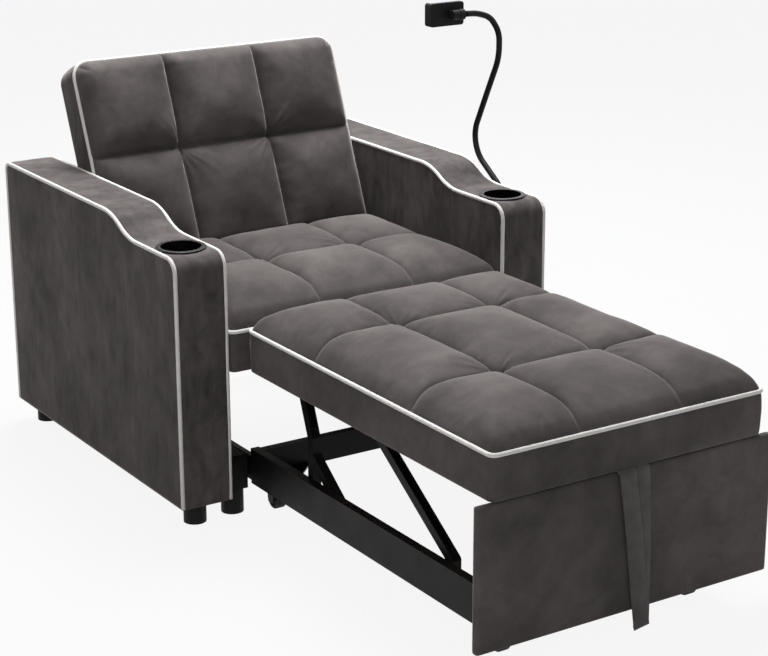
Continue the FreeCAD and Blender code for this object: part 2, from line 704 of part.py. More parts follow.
# Pad side of the linkage
def head_plate():
    y, z = LEVER_HEAD
    x0 = LINK_OUTER + LINK_SIDE_GAP
    wide = HEAD_PLATE_HALF
    tip = HEAD_PLATE_TIP
    web = plate_yz([(y - wide, PAD_DECK), (y - tip, z - tip), (y + tip, z - tip), (y + wide, PAD_DECK)],
                   (x0, x0 + GUIDE_PLATE))
    flange = block((x0, x0 + HEAD_FLANGE), (y - wide, y + wide), (PAD_DECK - GUIDE_PLATE, PAD_DECK))
    x_in = LINK_OUTER - LINK_WIDTH - GAP - BOLT_HEAD
    shank = rod((x_in, y, z), (x0 + GUIDE_PLATE, y, z), LINK_PIN_RADIUS)
    head = rod((x_in, y, z), (x_in + BOLT_HEAD, y, z), LINK_PIN_RADIUS + PIN_HEAD_LIP)
    return joined([web, flange, shank, head])


def roller_channel():
    y, z = LINK_HEAD
    x1 = LINK_OUTER - LINK_WIDTH - CHANNEL_SIDE_GAP
    x0 = x1 - ROLLER_WIDTH - CHANNEL_PLAY
    top = z + ROLLER_RADIUS + GAP
    low = z - ROLLER_RADIUS - ROLLER_DROP
    ends = (y - ROLLER_TRAVEL - ROLLER_RADIUS - GAP, y + ROLLER_RADIUS + GAP)
    outer = block((x0 - CHANNEL_WALL, x1), (ends[0] - CHANNEL_WALL, ends[1] + CHANNEL_WALL),
                  (low - CHANNEL_WALL, PAD_DECK))
    inner = block((x0, x1), ends, (low, top))
    return outer.cut(inner)


# Wheel carriers
def caster_bracket(y):
    x_out = (WHEEL_X + WHEEL_WIDTH / 2 + FORK_GAP, WHEEL_X + WHEEL_WIDTH / 2 + FORK_GAP + FORK_PLATE)
    x_in = (WHEEL_X - WHEEL_WIDTH / 2 - FORK_GAP - FORK_PLATE, WHEEL_X - WHEEL_WIDTH / 2 - FORK_GAP)
    ys = (y - FORK_LENGTH / 2, y + FORK_LENGTH / 2)
    tip = WHEEL_RADIUS - FORK_TIP_DROP
    legs = [plate_yz([(y - FORK_TIP, tip), (ys[0], FORK_TOP), (ys[1], FORK_TOP), (y + FORK_TIP, tip)], x)
            for x in (x_out, x_in)]
    top = block((x_in[0], RAIL_INNER), ys, (FORK_TOP - FORK_PLATE, FORK_TOP))
    side = block((RAIL_INNER - FORK_PLATE, RAIL_INNER), ys, (FORK_TOP - FORK_PLATE, CROSSBAR_BOTTOM))
    axle = rod((x_in[0], y, WHEEL_RADIUS), (x_out[1], y, WHEEL_RADIUS), AXLE_RADIUS)
    return joined([top, side, axle] + legs)


def wheel(x, y):
    half = WHEEL_WIDTH / 2
    tyre = rod((x - half, y, WHEEL_RADIUS), (x + half, y, WHEEL_RADIUS), WHEEL_RADIUS)
    tyre = tyre.makeFillet(WHEEL_FILLET, [e for e in tyre.Edges if e.Length > 2 * WHEEL_RADIUS])
    bore = rod((x - half - 1, y, WHEEL_RADIUS), (x + half + 1, y, WHEEL_RADIUS), AXLE_RADIUS + BOLT_GAP)
    floor = half - WHEEL_RECESS
    recess = [rod((x + s * half, y, WHEEL_RADIUS), (x + s * floor, y, WHEEL_RADIUS), WHEEL_RADIUS - WHEEL_RIM)
              for s in (-1, 1)]
    hub = rod((x - half, y, WHEEL_RADIUS), (x + half, y, WHEEL_RADIUS), AXLE_RADIUS + HUB_WALL)
    return joined([tyre.cut(recess[0]).cut(recess[1]), hub]).cut(bore)


def sledge_rail():
    outer = block((RAIL_INNER, RAIL_OUTER), (PANEL_BACK, RAIL_REAR), (RAIL_BOTTOM, RAIL_TOP))
    hollow = block((RAIL_INNER + RAIL_WALL, RAIL_OUTER - RAIL_WALL), (PANEL_BACK + RAIL_WALL, RAIL_REAR),
                   (RAIL_BOTTOM, RAIL_TOP - RAIL_WALL))
    return outer.cut(hollow)


def guide_tongue():
    x = (RAIL_INNER + RAIL_WALL + GAP, RAIL_OUTER - RAIL_WALL - GAP)
    low = RAIL_BOTTOM - GUIDE_PLATE - TONGUE_SOLE_GAP
    base = RAIL_BOTTOM + TONGUE_RISE
    bracket_y = (TONGUE_BRACKET_FRONT, TONGUE_REAR)
    tongue = block(x, (TONGUE_FRONT, TONGUE_REAR), (base, TONGUE_TOP))
    stem = block(x, bracket_y, (low, base))
    sole = block((x[0], BASE_RAIL_INNER), bracket_y, (low, low + GUIDE_PLATE))
    side = block((BASE_RAIL_INNER - GUIDE_PLATE, BASE_RAIL_INNER), bracket_y, (low, BASE_RAIL_TOP - TONGUE_SIDE_DROP))
    return joined([tongue, stem, sole, side])


def corner_brace():
    corner = Vector(RAIL_INNER, CROSSBAR_FRONT, CROSSBAR_BOTTOM + BRACE_LIFT)
    points = [corner, corner - Vector(BRACE_LEG, 0, 0), corner - Vector(0, BRACE_LEG, 0), corner]
    return Part.Face(Part.makePolygon(points)).extrude(Vector(0, 0, GUIDE_PLATE))


def crossbar():
    y = (CROSSBAR_FRONT, CROSSBAR_FRONT + CROSSBAR_DEPTH)
    z = (CROSSBAR_BOTTOM, RAIL_TOP - CROSSBAR_TOP_GAP)
    bar = block((-RAIL_INNER, RAIL_INNER), y, z)
    hollow = block((-RAIL_INNER, RAIL_INNER), (y[0] + CROSSBAR_WALL, y[1] - CROSSBAR_WALL),
                   (z[0] + CROSSBAR_WALL, z[1] - CROSSBAR_WALL))
    return bar.cut(hollow)


def panel_bracket():
    x = (RAIL_INNER - GUIDE_PLATE, RAIL_INNER)
    z = (RAIL_BOTTOM + PANEL_BRACKET_INSET, RAIL_TOP - PANEL_BRACKET_INSET)
    side = block(x, (PANEL_BACK, PANEL_BACK + PANEL_BRACKET_DEPTH), z)
    face = block((RAIL_INNER - PANEL_BRACKET_WIDTH, RAIL_INNER), (PANEL_BACK, PANEL_BACK + GUIDE_PLATE), z)
    return joined([side, face])


# Pull strap: one closed band, folded over the top edge of the front panel and hanging as a narrow loop
def strap_prism(points):
    wire = Part.makePolygon([Vector(0, y, z) for y, z in points + points[:1]])
    return Part.Face(wire).extrude(Vector(STRAP_WIDTH, 0, 0))


def pull_strap():
    y_face = PANEL_FRONT - GAP
    z_top = PANEL_TOP + GAP
    near = y_face - STRAP_THICK
    far = near - GAP - STRAP_THICK
    band = strap_prism([(PANEL_FRONT + STRAP_TAB, z_top), (y_face, z_top), (y_face, STRAP_FOOT), (far, STRAP_FOOT),
                        (far, z_top), (near, z_top + STRAP_THICK),
                        (PANEL_FRONT + STRAP_TAB, z_top + STRAP_THICK)])
    seam = z_top - STRAP_SEAM
    slot = strap_prism([(near, STRAP_FOOT + STRAP_THICK), (near, seam), (near - GAP, seam),
                        (near - GAP, STRAP_FOOT + STRAP_THICK)])
    band = band.cut(slot)
    shear = FreeCAD.Matrix()
    slope = (STRAP_FOOT_X - STRAP_X) / (STRAP_FOOT - z_top)
    shear.A13 = slope
    shear.A14 = STRAP_X - STRAP_WIDTH / 2 - slope * z_top
    return band.transformGeometry(shear)


def front_panel():
    board = block((-PANEL_HALF + PANEL_WRAP, PANEL_HALF - PANEL_WRAP), (PANEL_FRONT + PANEL_WRAP, PANEL_BACK),
                  (PANEL_BOTTOM + PANEL_WRAP, PANEL_TOP - PANEL_WRAP))
    cover = block((-PANEL_HALF, PANEL_HALF), (PANEL_FRONT, PANEL_BACK), (PANEL_BOTTOM, PANEL_TOP))
    edges = [e for e in cover.Edges if all(v.Y < PANEL_FRONT + 0.1 for v in e.Vertexes)]
    cover = cover.makeFillet(PANEL_WRAP - 0.5, edges)
    return board, cover.cut(board)


# Phone holder
def phone_bracket():
    x, y, low = NECK_ROUTE[0]
    floor = low - SOCKET_FLOOR
    top = SOCKET_TOP - PHONE_PLATE_DROP
    plate = block((HALF_WIDTH, HALF_WIDTH + BRACKET_PLATE), (y - PHONE_PLATE_HALF, y + PHONE_PLATE_HALF),
                  (floor - PHONE_PLATE_DROP, top))
    rib = block((HALF_WIDTH, x), (y - SOCKET_RIB, y + SOCKET_RIB), (floor, top))
    socket = rod((x, y, floor), (x, y, SOCKET_TOP), SOCKET_RADIUS)
    bore = rod((x, y, low - GAP), (x, y, SOCKET_TOP + 1), NECK_RADIUS + NECK_GAP)
    return joined([plate, rib, socket]).cut(bore)


def gooseneck():
    tube = tube_along(bent_wire(NECK_ROUTE), NECK_RADIUS)
    ball = Part.makeSphere(BALL_RADIUS, Vector(*BALL_CENTRE))
    stem = rod(BALL_CENTRE, (NECK_ROUTE[-1][0] + 2, *NECK_ROUTE[-1][1:]), STEM_RADIUS)
    return tube.fuse([stem, ball])


def ball_nut():
    x, y, z = BALL_CENTRE
    ring = rod((x - NUT_BACK, y, z), (x + NUT_FRONT, y, z), NUT_RADIUS)
    bore = rod((x - NUT_BACK, y, z), (x + NUT_FRONT - NUT_LIP, y, z), BALL_RADIUS + GAP)
    lip = rod((x, y, z), (x + NUT_FRONT + 1, y, z), BALL_RADIUS - 0.5)
    return ring.cut(bore).cut(lip)


def clamp_plate():
    x_ball, y_ball, z = BALL_CENTRE
    span = (z - CLAMP_HALF_HEIGHT, z + CLAMP_HALF_HEIGHT)
    left = CLAMP_LEFT + JAW_WIDTH
    y = (CLAMP_BACK, CLAMP_BACK + CLAMP_THICK)
    back = block((left, CLAMP_RIGHT), y, span)
    corners = [e for e in back.Edges if abs(e.Vertexes[0].Y - e.Vertexes[1].Y) > 1 and e.CenterOfMass.x > left + 1]
    back = back.makeFillet(CLAMP_CORNER, corners)
    jaw = block((CLAMP_RIGHT - JAW_WIDTH, CLAMP_RIGHT), (y[1], CLAMP_BACK + JAW_REACH),
                (span[0] + CLAMP_CORNER, span[1] - CLAMP_CORNER))
    middle = (y[0] + y[1]) / 2
    pocket = block((left, left + JAW_TONGUE + GAP),
                   (middle - JAW_TONGUE_THICK / 2 - GAP, middle + JAW_TONGUE_THICK / 2 + GAP),
                   (z - JAW_TONGUE_HALF - GAP, z + JAW_TONGUE_HALF + GAP))
    end = x_ball - NUT_BACK - GAP
    socket = rod((end - CLAMP_SOCKET, y_ball, z), (end, y_ball, z), NUT_RADIUS - 1)
    neck = block((end - CLAMP_NECK, end - 2), (y_ball, CLAMP_BACK), (z - CLAMP_NECK_HALF, z + CLAMP_NECK_HALF))
    return joined([back, jaw, socket, neck]).cut(pocket)


def clamp_jaw():
    z = BALL_CENTRE[2]
    left = CLAMP_LEFT + JAW_WIDTH
    middle = CLAMP_BACK + CLAMP_THICK / 2
    face = block((CLAMP_LEFT, left), (CLAMP_BACK, CLAMP_BACK + JAW_REACH), (z - CLAMP_HALF_HEIGHT, z + CLAMP_HALF_HEIGHT))
    corners = [e for e in face.Edges if abs(e.Vertexes[0].Y - e.Vertexes[1].Y) > 1 and e.CenterOfMass.x < left - 1]
    face = face.makeFillet(CLAMP_CORNER, corners)
    tongue = block((left, left + JAW_TONGUE), (middle - JAW_TONGUE_THICK / 2, middle + JAW_TONGUE_THICK / 2),
                   (z - JAW_TONGUE_HALF, z + JAW_TONGUE_HALF))
    return joined([face, tongue])


def seat_bracket(y):
    ys = (y, y + SEAT_BRACKET_LENGTH)
    shelf = block((ARM_INNER - SEAT_BRACKET_REACH, ARM_INNER), ys, (SEAT_BOTTOM - BRACKET_PLATE, SEAT_BOTTOM))
    wall = block((ARM_INNER - BRACKET_PLATE, ARM_INNER), ys, (SEAT_BOTTOM - SEAT_BRACKET_DROP, SEAT_BOTTOM))
    return joined([shelf, wall])


def build_base():
    cover, frame, piping = arm()
    cup = cup_holder()
    for side, turn in (("right", lambda s: s), ("left", mirrored)):
        nodes["arm_cover_" + side] = turn(cover)
        nodes["arm_frame_" + side] = turn(frame)
        nodes["arm_piping_" + side] = turn(piping)
        nodes["cup_holder_" + side] = turn(cup)
    feet = [rod((CUP_X, y, 0), (CUP_X, y, ARM_BOTTOM), FOOT_RADIUS) for y in ARM_FOOT_Y]
    nodes["arm_feet"] = Part.makeCompound(feet + [mirrored(f) for f in feet])
    rail = block((BASE_RAIL_INNER, ARM_INNER), (BASE_RAIL_FRONT, BASE_RAIL_REAR), (ARM_BOTTOM, BASE_RAIL_TOP))
    nose = [e for e in rail.Edges
            if all(v.Z > BASE_RAIL_TOP - 0.1 and v.Y < BASE_RAIL_FRONT + 0.1 for v in e.Vertexes)]
    nodes["base_rails"] = pair(rail.makeFillet(BASE_RAIL_RADIUS, nose))
    feet = [rod((BASE_FOOT_X, y, 0), (BASE_FOOT_X, y, ARM_BOTTOM), FOOT_RADIUS) for y in BASE_FOOT_Y]
    nodes["base_feet"] = Part.makeCompound(feet + [mirrored(f) for f in feet])
    nodes["guide_tongues"] = pair(guide_tongue())
    panel_y = (ARM_DEPTH - REAR_INSET - BOARD, ARM_DEPTH - REAR_INSET)
    nodes["rear_panel"] = block((-ARM_INNER, ARM_INNER), panel_y, (REAR_PANEL_BOTTOM, REAR_PANEL_TOP))
    names = ("seat_frame", "seat_deck", "seat_skirt", "seat_cushion", "seat_piping")
    levels = (SEAT_BOTTOM, SEAT_DECK, SEAT_PIPING, SEAT_TOP)
    solids = upholstered_box(SEAT_HALF, (SEAT_FRONT, SEAT_REAR), levels, SEAT_ROWS, False)
    nodes.update(zip(names, solids))
    brackets = [seat_bracket(y) for y in SEAT_BRACKET_Y]
    nodes["seat_brackets"] = Part.makeCompound(brackets + [mirrored(b) for b in brackets])
    nodes["hinge_plates"] = pair(hinge_plate())
    nodes["hinge_pins"] = pair(hinge_pin())
    nodes["phone_bracket"] = phone_bracket()


def build_base_bolts():
    bolts = []
    for y in SEAT_BRACKET_Y:
        for offset in (SEAT_BOLT_END, SEAT_BRACKET_LENGTH - SEAT_BOLT_END):
            side_head = (ARM_INNER - BRACKET_PLATE, y + offset, SEAT_BOTTOM - SEAT_BOLT_DROP)
            frame_head = (SEAT_HALF - FABRIC - BOARD / 2, y + offset, SEAT_BOTTOM - BRACKET_PLATE)
            bolts += bolt_pair(side_head, (1, 0, 0), SEAT_BOLT_LENGTH)
            bolts += bolt_pair(frame_head, (0, 0, 1), SEAT_BOLT_LENGTH)
            drill_pair(["seat_brackets", "arm_cover_left", "arm_cover_right", "arm_frame_left", "arm_frame_right"],
                       side_head, (1, 0, 0), SEAT_BOLT_LENGTH)
            drill_pair(["seat_brackets", "seat_frame"], frame_head, (0, 0, 1), SEAT_BOLT_LENGTH)
    for z in (SEAT_BOTTOM + HINGE_BOLT_ENDS[0], SEAT_DECK - HINGE_BOLT_ENDS[1]):
        head = (HINGE_PLATE_INNER - HINGE_BOLT_INSET, SEAT_REAR - FABRIC + HINGE_PLATE, z)
        bolts += bolt_pair(head, (0, -1, 0), BOARD)
        drill_pair(["hinge_plates", "seat_frame"], head, (0, -1, 0), BOARD)
    for y in (NECK_ROUTE[0][1] - PHONE_BOLT_SPREAD, NECK_ROUTE[0][1] + PHONE_BOLT_SPREAD):
        head = (HALF_WIDTH + BRACKET_PLATE, y, (NECK_ROUTE[0][2] + SOCKET_TOP) / 2)
        bolts.append(bolt(head, (-1, 0, 0), PHONE_BOLT_LENGTH))
        drill(["phone_bracket", "arm_cover_right", "arm_frame_right"], head, (-1, 0, 0), PHONE_BOLT_LENGTH)
    nodes["base_bolts"] = Part.makeCompound(bolts)


def build_sledge():
    nodes["sledge_rail_right"] = sledge_rail()
    nodes["sledge_rail_left"] = mirrored(sledge_rail())
    nodes["rear_crossbar"] = crossbar()
    nodes["corner_braces"] = pair(corner_brace())
    nodes["front_panel_board"], nodes["front_panel_cover"] = front_panel()
    nodes["panel_brackets"] = pair(panel_bracket())
    nodes["pull_strap"] = pull_strap()
    brackets = [foot_bracket(LEVER_FOOT), foot_bracket(LINK_FOOT)]
    nodes["pivot_brackets"] = Part.makeCompound(brackets + [mirrored(b) for b in brackets])
    pins = [foot_pin(LEVER_FOOT), foot_pin(LINK_FOOT)]
    nodes["pivot_pins"] = Part.makeCompound(pins + [mirrored(p) for p in pins])
    for point in (LEVER_FOOT, LINK_FOOT):
        cutter = rod((LINK_OUTER, *point), (RAIL_INNER + RAIL_WALL + 1, *point), LINK_PIN_RADIUS + BOLT_GAP)
        for name in ("pivot_brackets", "sledge_rail_left", "sledge_rail_right"):
            nodes[name] = nodes[name].cut([cutter, mirrored(cutter)])
    casters = [caster_bracket(y) for y in WHEEL_Y]
    nodes["caster_brackets"] = Part.makeCompound(casters + [mirrored(c) for c in casters])
    for place, y in zip(("rear", "front"), WHEEL_Y):
        nodes["wheel_%s_right" % place] = wheel(WHEEL_X, y)
        nodes["wheel_%s_left" % place] = wheel(-WHEEL_X, y)
    bolts = []
    for z in (RAIL_BOTTOM + PANEL_BOLT_END, RAIL_TOP - PANEL_BOLT_END):
        head = (RAIL_INNER - PANEL_BOLT_SIDE, PANEL_BACK + GUIDE_PLATE, z)
        bolts += bolt_pair(head, (0, -1, 0), PANEL_BOLT_LENGTH)
        drill_pair(["panel_brackets", "front_panel_board"], head, (0, -1, 0), PANEL_BOLT_LENGTH)
    nodes["panel_bolts"] = Part.makeCompound(bolts)


def build_linkage():
    nodes["front_links"] = pair(front_link())
    nodes["link_rollers"] = pair(link_roller())
    nodes["rear_levers"] = pair(rear_lever())


def build_pad():
    names = ("pad_frame", "pad_deck", "pad_skirt", "pad_cushion", "pad_piping")
    levels = (PAD_BOTTOM, PAD_DECK, PAD_PIPING, PAD_TOP)
    solids = upholstered_box(PAD_HALF, (PAD_FRONT, PAD_REAR), levels, PAD_ROWS, True)
    nodes.update(zip(names, solids))
    nodes["lever_plates"] = pair(head_plate())
    nodes["roller_channels"] = pair(roller_channel())
    bolts = []
    for offset in (-HEAD_BOLT_SPREAD, HEAD_BOLT_SPREAD):
        head = (LINK_OUTER + HEAD_BOLT_SIDE, LEVER_HEAD[0] + offset, PAD_DECK - GUIDE_PLATE)
        bolts += bolt_pair(head, (0, 0, 1), HEAD_BOLT_LENGTH)
        drill_pair(["lever_plates", "pad_deck"], head, (0, 0, 1), HEAD_BOLT_LENGTH)
    nodes["pad_bolts"] = Part.makeCompound(bolts)


def build_phone_holder():
    nodes["gooseneck"] = gooseneck()
    nodes["ball_nut"] = ball_nut()
    nodes["clamp_plate"] = clamp_plate()
    nodes["clamp_jaw"] = clamp_jaw()


def export():
    # The frame's origin is on the floor, below the middle of everything
    box = Part.makeCompound(list(nodes.values())).optimalBoundingBox(False, False)
    shift = Vector(-(box.XMin + box.XMax) / 2, -(box.YMin + box.YMax) / 2, -box.ZMin)
    os.makedirs("parts", exist_ok=True)
    for name, shape in nodes.items():
        moved = shape.copy()
        moved.translate(shift)
        moved.exportStep("parts/%s.step" % name)
    print("shift", round(shift.x, 3), round(shift.y, 3), round(shift.z, 3), "size", box.XLength, box.YLength, box.ZLength)


build_base()
build_base_bolts()
backrest()
build_sledge()
build_linkage()
build_pad()
build_phone_holder()
export()
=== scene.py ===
import json
import math

import bmesh
import bpy
import numpy as np
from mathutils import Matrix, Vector, noise


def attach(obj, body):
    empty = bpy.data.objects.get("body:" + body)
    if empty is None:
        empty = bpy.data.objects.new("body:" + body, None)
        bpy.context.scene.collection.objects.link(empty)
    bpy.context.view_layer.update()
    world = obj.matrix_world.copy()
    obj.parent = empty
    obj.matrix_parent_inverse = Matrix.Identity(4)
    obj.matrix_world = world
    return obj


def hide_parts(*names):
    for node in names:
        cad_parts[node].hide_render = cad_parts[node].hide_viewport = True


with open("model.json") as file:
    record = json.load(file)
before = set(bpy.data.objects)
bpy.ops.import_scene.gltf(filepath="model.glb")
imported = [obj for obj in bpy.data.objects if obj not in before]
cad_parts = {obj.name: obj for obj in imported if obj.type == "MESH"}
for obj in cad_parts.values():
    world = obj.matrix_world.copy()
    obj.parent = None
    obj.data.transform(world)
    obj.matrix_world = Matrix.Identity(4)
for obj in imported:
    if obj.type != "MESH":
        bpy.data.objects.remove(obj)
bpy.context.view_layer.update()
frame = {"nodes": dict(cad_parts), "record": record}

# Lengths below are millimetres of the part's drawing, whose middle is moved to the frame's origin
DRAWING_TO_ROW = np.array([-11.875, 18.675, 0.0])
UP = np.array([0.0, 0.0, 1.0])

# Arms: outer and inner side, start and end of the slope, radii of the front and rear corner
HALF_WIDTH = 425.0
ARM_INNER = 319.0
ARM_DEPTH = 777.0
ARM_BOTTOM = 50.0
ARM_TOP_REAR = 582.0
ARM_TOP_FRONT = 545.0
SLOPE = (160.0, 300.0)
ARM_RADII = (30.0, 14.0)
# Cup well: its middle, the hole in the cover, the depths it is cut between and the flange's edge
CUP = (372.0, 75.0)
CUP_HOLE = 41.2
CUP_CUT = (470.0, 560.0)
CUP_FLANGE = 46.0

# Piping round the seat, the leg pad, the backrest and the arms
PIPING_RADIUS = 4.0
PIPING_INSET = 1.5
PIPING_RIPPLE = 0.05

# Seat and leg pad: half widths, front and rear ends, height of the piping
SEAT_HALF = 315.0
SEAT_Y = (-6.0, 484.0)
SEAT_BAND_Y = (-6.0, 470.0)
SEAT_PIPING = 388.0
PAD_HALF = 289.0
PAD_Y = (-812.0, -24.0)
PAD_PIPING = 394.0
DECK_TOP = 362.3
BOX_CORNER = 14.0

# Backrest, measured from its hinge: across, up the back and out of its front
HINGE = (0.0, 516.0, 374.0)
BACK_LEAN = math.radians(22.0)
BACK_HALF = 314.0
BACK_RANGE = (18.0, 452.0)
BACK_PIPING = 20.0
BACK_REAR = 57.0
BACK_CORNER = 35.0

# Front panel and strap
PANEL_HALF = 314.0
PANEL_FRONT = -812.0
PANEL_REAR = -796.2
PANEL_BOTTOM = 52.0
PANEL_TOP = 311.0
STRAP_HALF = 17.0
STRAP_THICK = 2.0
STRAP_TOP = 311.6
STRAP_FOOT = 16.0

# Quilting: seams along and across, and levels above the piping, which are those of the seams,
# of the crests of the inner puffs, and of the crests and the edges of the outer puffs
COLUMN_SEAM = 108.0
SEAT_SEAMS = [236.0]
SEAT_LEVELS = (55.0, 93.0, 84.0, 24.0)
PAD_SEAMS = [-574.0, -262.0]
PAD_LEVELS = (43.0, 82.0, 71.0, 13.0)
BACK_SEAMS = [246.0]
BACK_LEVELS = (16.0, 53.0, 50.0, 24.0)
DOME_POWER = 0.86
OUTER_CREST = 0.42
PUFF_BLEND = 4.0
QUILT_STEP = 4.2
GROOVE_DEPTH = 7.0
GROOVE_WIDTH = 4.4
FLAT_PIT = 9.0
BACK_PIT = 12.0
PIT_WIDTH = 24.0
FOLD_HEIGHT = 1.9
FOLD_LENGTH = 50.0
CUSHION_INSET = 2.0
CUSHION_CORNER = 13.0
FLAT_ROUNDING = 20.0
BACK_ROUNDING = 30.0


def row(points):
    return (np.asarray(points, float) + DRAWING_TO_ROW) / 1000.0


# Meshes
def make_mesh(name, points, faces, material, body, smooth=True):
    mesh = bpy.data.meshes.new(name)
    mesh.from_pydata(row(points).tolist(), [], [list(map(int, f)) for f in faces])
    work = bmesh.new()
    work.from_mesh(mesh)
    bmesh.ops.remove_doubles(work, verts=work.verts, dist=0.00002)
    bmesh.ops.recalc_face_normals(work, faces=work.faces)
    work.to_mesh(mesh)
    work.free()
    mesh.polygons.foreach_set("use_smooth", [smooth] * len(mesh.polygons))
    mesh.materials.append(material)
    piece = bpy.data.objects.new(name, mesh)
    bpy.context.scene.collection.objects.link(piece)
    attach(piece, body)
    return piece


def grid_faces(rows, columns, start=0, wrap=False):
    faces = []
    last = columns if wrap else columns - 1
    for i in range(rows - 1):
        for j in range(last):
            k = (j + 1) % columns
            faces.append((start + i * columns + j, start + i * columns + k,
                          start + (i + 1) * columns + k, start + (i + 1) * columns + j))
    return faces


def wander(points, scale, seed):
    """Smooth noise at each point, about -1 to 1; scale is the size of its blotches in millimetres."""
    shift = Vector((seed * 17.3, seed * 5.1, seed * 9.7))
    return np.array([noise.noise(Vector(p) / scale + shift) for p in np.asarray(points).reshape(-1, 3)])


def tube(name, path, radius, material, body, closed=False, sides=12, ripple=0.0, seed=0):
    """A round cord along a path of points, its section turned with the path."""
    path = np.asarray(path, float)
    ahead = np.roll(path, -1, 0) - np.roll(path, 1, 0)
    if not closed:
        ahead[0] = path[1] - path[0]
        ahead[-1] = path[-1] - path[-2]
    ahead /= np.linalg.norm(ahead, axis=1)[:, None]
    side = np.cross(ahead[0], UP if abs(ahead[0][2]) < 0.9 else np.array([1.0, 0, 0]))
    rings = []
    for i, heading in enumerate(ahead):
        side = side - heading * side.dot(heading)
        side /= np.linalg.norm(side)
        other = np.cross(heading, side)
        swell = radius * (1 + ripple * noise.noise(Vector(path[i]) / 9.0 + Vector((seed, 0, 0))))
        turn = np.linspace(0, 2 * math.pi, sides, endpoint=False)
        rings.append(path[i] + swell * (np.cos(turn)[:, None] * side + np.sin(turn)[:, None] * other))
    points = np.concatenate(rings)
    count = len(path)
    faces = grid_faces(count, sides, wrap=True)
    if closed:
        first = rings[0]
        gap = [int(np.argmin(np.linalg.norm(first - p, axis=1))) for p in rings[-1]]
        start = (count - 1) * sides
        faces += [(start + j, start + (j + 1) % sides, gap[(j + 1) % sides], gap[j]) for j in range(sides)]
    else:
        faces += [tuple(range(sides))[::-1], tuple(range((count - 1) * sides, count * sides))]
    return make_mesh(name, points, faces, material, body)


def resample(path, step, closed=False):
    path = np.asarray(path, float)
    if closed:
        path = np.vstack([path, path[:1]])
    run = np.concatenate([[0], np.cumsum(np.linalg.norm(np.diff(path, axis=0), axis=1))])
    count = max(int(round(run[-1] / step)), 2)
    at = np.linspace(0, run[-1], count + 1)
    if closed:
        at = at[:-1]
    return np.stack([np.interp(at, run, path[:, k]) for k in range(3)], 1)


def rounded_loop(half, y, z, corner, inset, closed=True):
    """Outline of an upholstered box at height z, inset from its sides, as a smooth path."""
    x1 = half - inset
    y0 = y[0] + inset
    y1 = y[1] - inset if closed else y[1]
    r = max(corner - inset, 0.5)
    arcs = [(-x1 + r, y0 + r, math.pi), (x1 - r, y0 + r, 1.5 * math.pi)]
    if closed:
        arcs += [(x1 - r, y1 - r, 0), (-x1 + r, y1 - r, 0.5 * math.pi)]
    path = [] if closed else [(-x1, y1, z)]
    for cx, cy, start in arcs:
        for a in np.linspace(start, start + math.pi / 2, 9):
            path.append((cx + r * math.cos(a), cy + r * math.sin(a), z))
    if not closed:
        path.append((x1, y1, z))
    return resample(path, 5.0, closed)


# Materials
VELVET_DARK = (0.068, 0.060, 0.059)
VELVET_LIGHT = (0.136, 0.121, 0.119)
SHEEN_TINT = (0.90, 0.83, 0.81, 1.0)
PIPING_DARK = (0.82, 0.80, 0.77)
PIPING_LIGHT = (0.90, 0.88, 0.85)
WEBBING_DARK = (0.060, 0.053, 0.052)
WEBBING_LIGHT = (0.105, 0.095, 0.093)
ZINC_DARK = (0.50, 0.50, 0.49)
ZINC_LIGHT = (0.68, 0.68, 0.66)
PLYWOOD = (0.56, 0.41, 0.25)
PLYWOOD_GRAIN = (0.36, 0.24, 0.13)


def new_material(name, roughness=0.6, metallic=0.0, **constants):
    material = bpy.data.materials.new(name)
    material.use_nodes = True
    tree = material.node_tree
    shader = tree.nodes["Principled BSDF"]
    shader.inputs["Roughness"].default_value = roughness
    shader.inputs["Metallic"].default_value = metallic
    for key, value in constants.items():
        shader.inputs[key.replace("_", " ")].default_value = value
    return material, tree, shader


def add(tree, kind, **values):
    node = tree.nodes.new(kind)
    for key, value in values.items():
        if hasattr(node, key):
            setattr(node, key, value)
        else:
            node.inputs[key.replace("_", " ")].default_value = value
    return node


def noise_node(tree, where, scale, detail=3.0, rough=0.55, stretch=None, distortion=0.0):
    if stretch:
        mapping = add(tree, "ShaderNodeMapping")
        mapping.inputs["Scale"].default_value = stretch
        tree.links.new(where, mapping.inputs["Vector"])
        where = mapping.outputs["Vector"]
    node = add(tree, "ShaderNodeTexNoise", Scale=scale, Detail=detail, Roughness=rough, Distortion=distortion)
    tree.links.new(where, node.inputs["Vector"])
    return node.outputs["Fac"]


def ramp(tree, value, stops):
    node = add(tree, "ShaderNodeValToRGB")
    elements = node.color_ramp.elements
    while len(elements) < len(stops):
        elements.new(0.5)
    for element, (place, colour) in zip(elements, stops):
        element.position = place
        element.color = (*colour, 1.0) if hasattr(colour, "__len__") else (colour, colour, colour, 1.0)
    tree.links.new(value, node.inputs["Fac"])
    return node.outputs["Color"]


def blend_colour(tree, factor, first, second, kind="MIX"):
    node = add(tree, "ShaderNodeMix", data_type="RGBA", blend_type=kind)
    for socket, value in ((node.inputs[0], factor), (node.inputs[6], first), (node.inputs[7], second)):
        if isinstance(value, bpy.types.NodeSocket):
            tree.links.new(value, socket)
        elif hasattr(value, "__len__"):
            socket.default_value = (*value, 1.0)
        else:
            socket.default_value = value
    return node.outputs[2]


def bump(tree, shader, heights):
    """Stacks bumps, each given as (height socket, distance in metres, strength)."""
    normal = None
    for height, distance, strength in heights:
        node = add(tree, "ShaderNodeBump", Strength=strength, Distance=distance)
        tree.links.new(height, node.inputs["Height"])
        if normal:
            tree.links.new(normal, node.inputs["Normal"])
        normal = node.outputs["Normal"]
    tree.links.new(normal, shader.inputs["Normal"])


def object_place(tree):
    return add(tree, "ShaderNodeTexCoord").outputs["Object"]


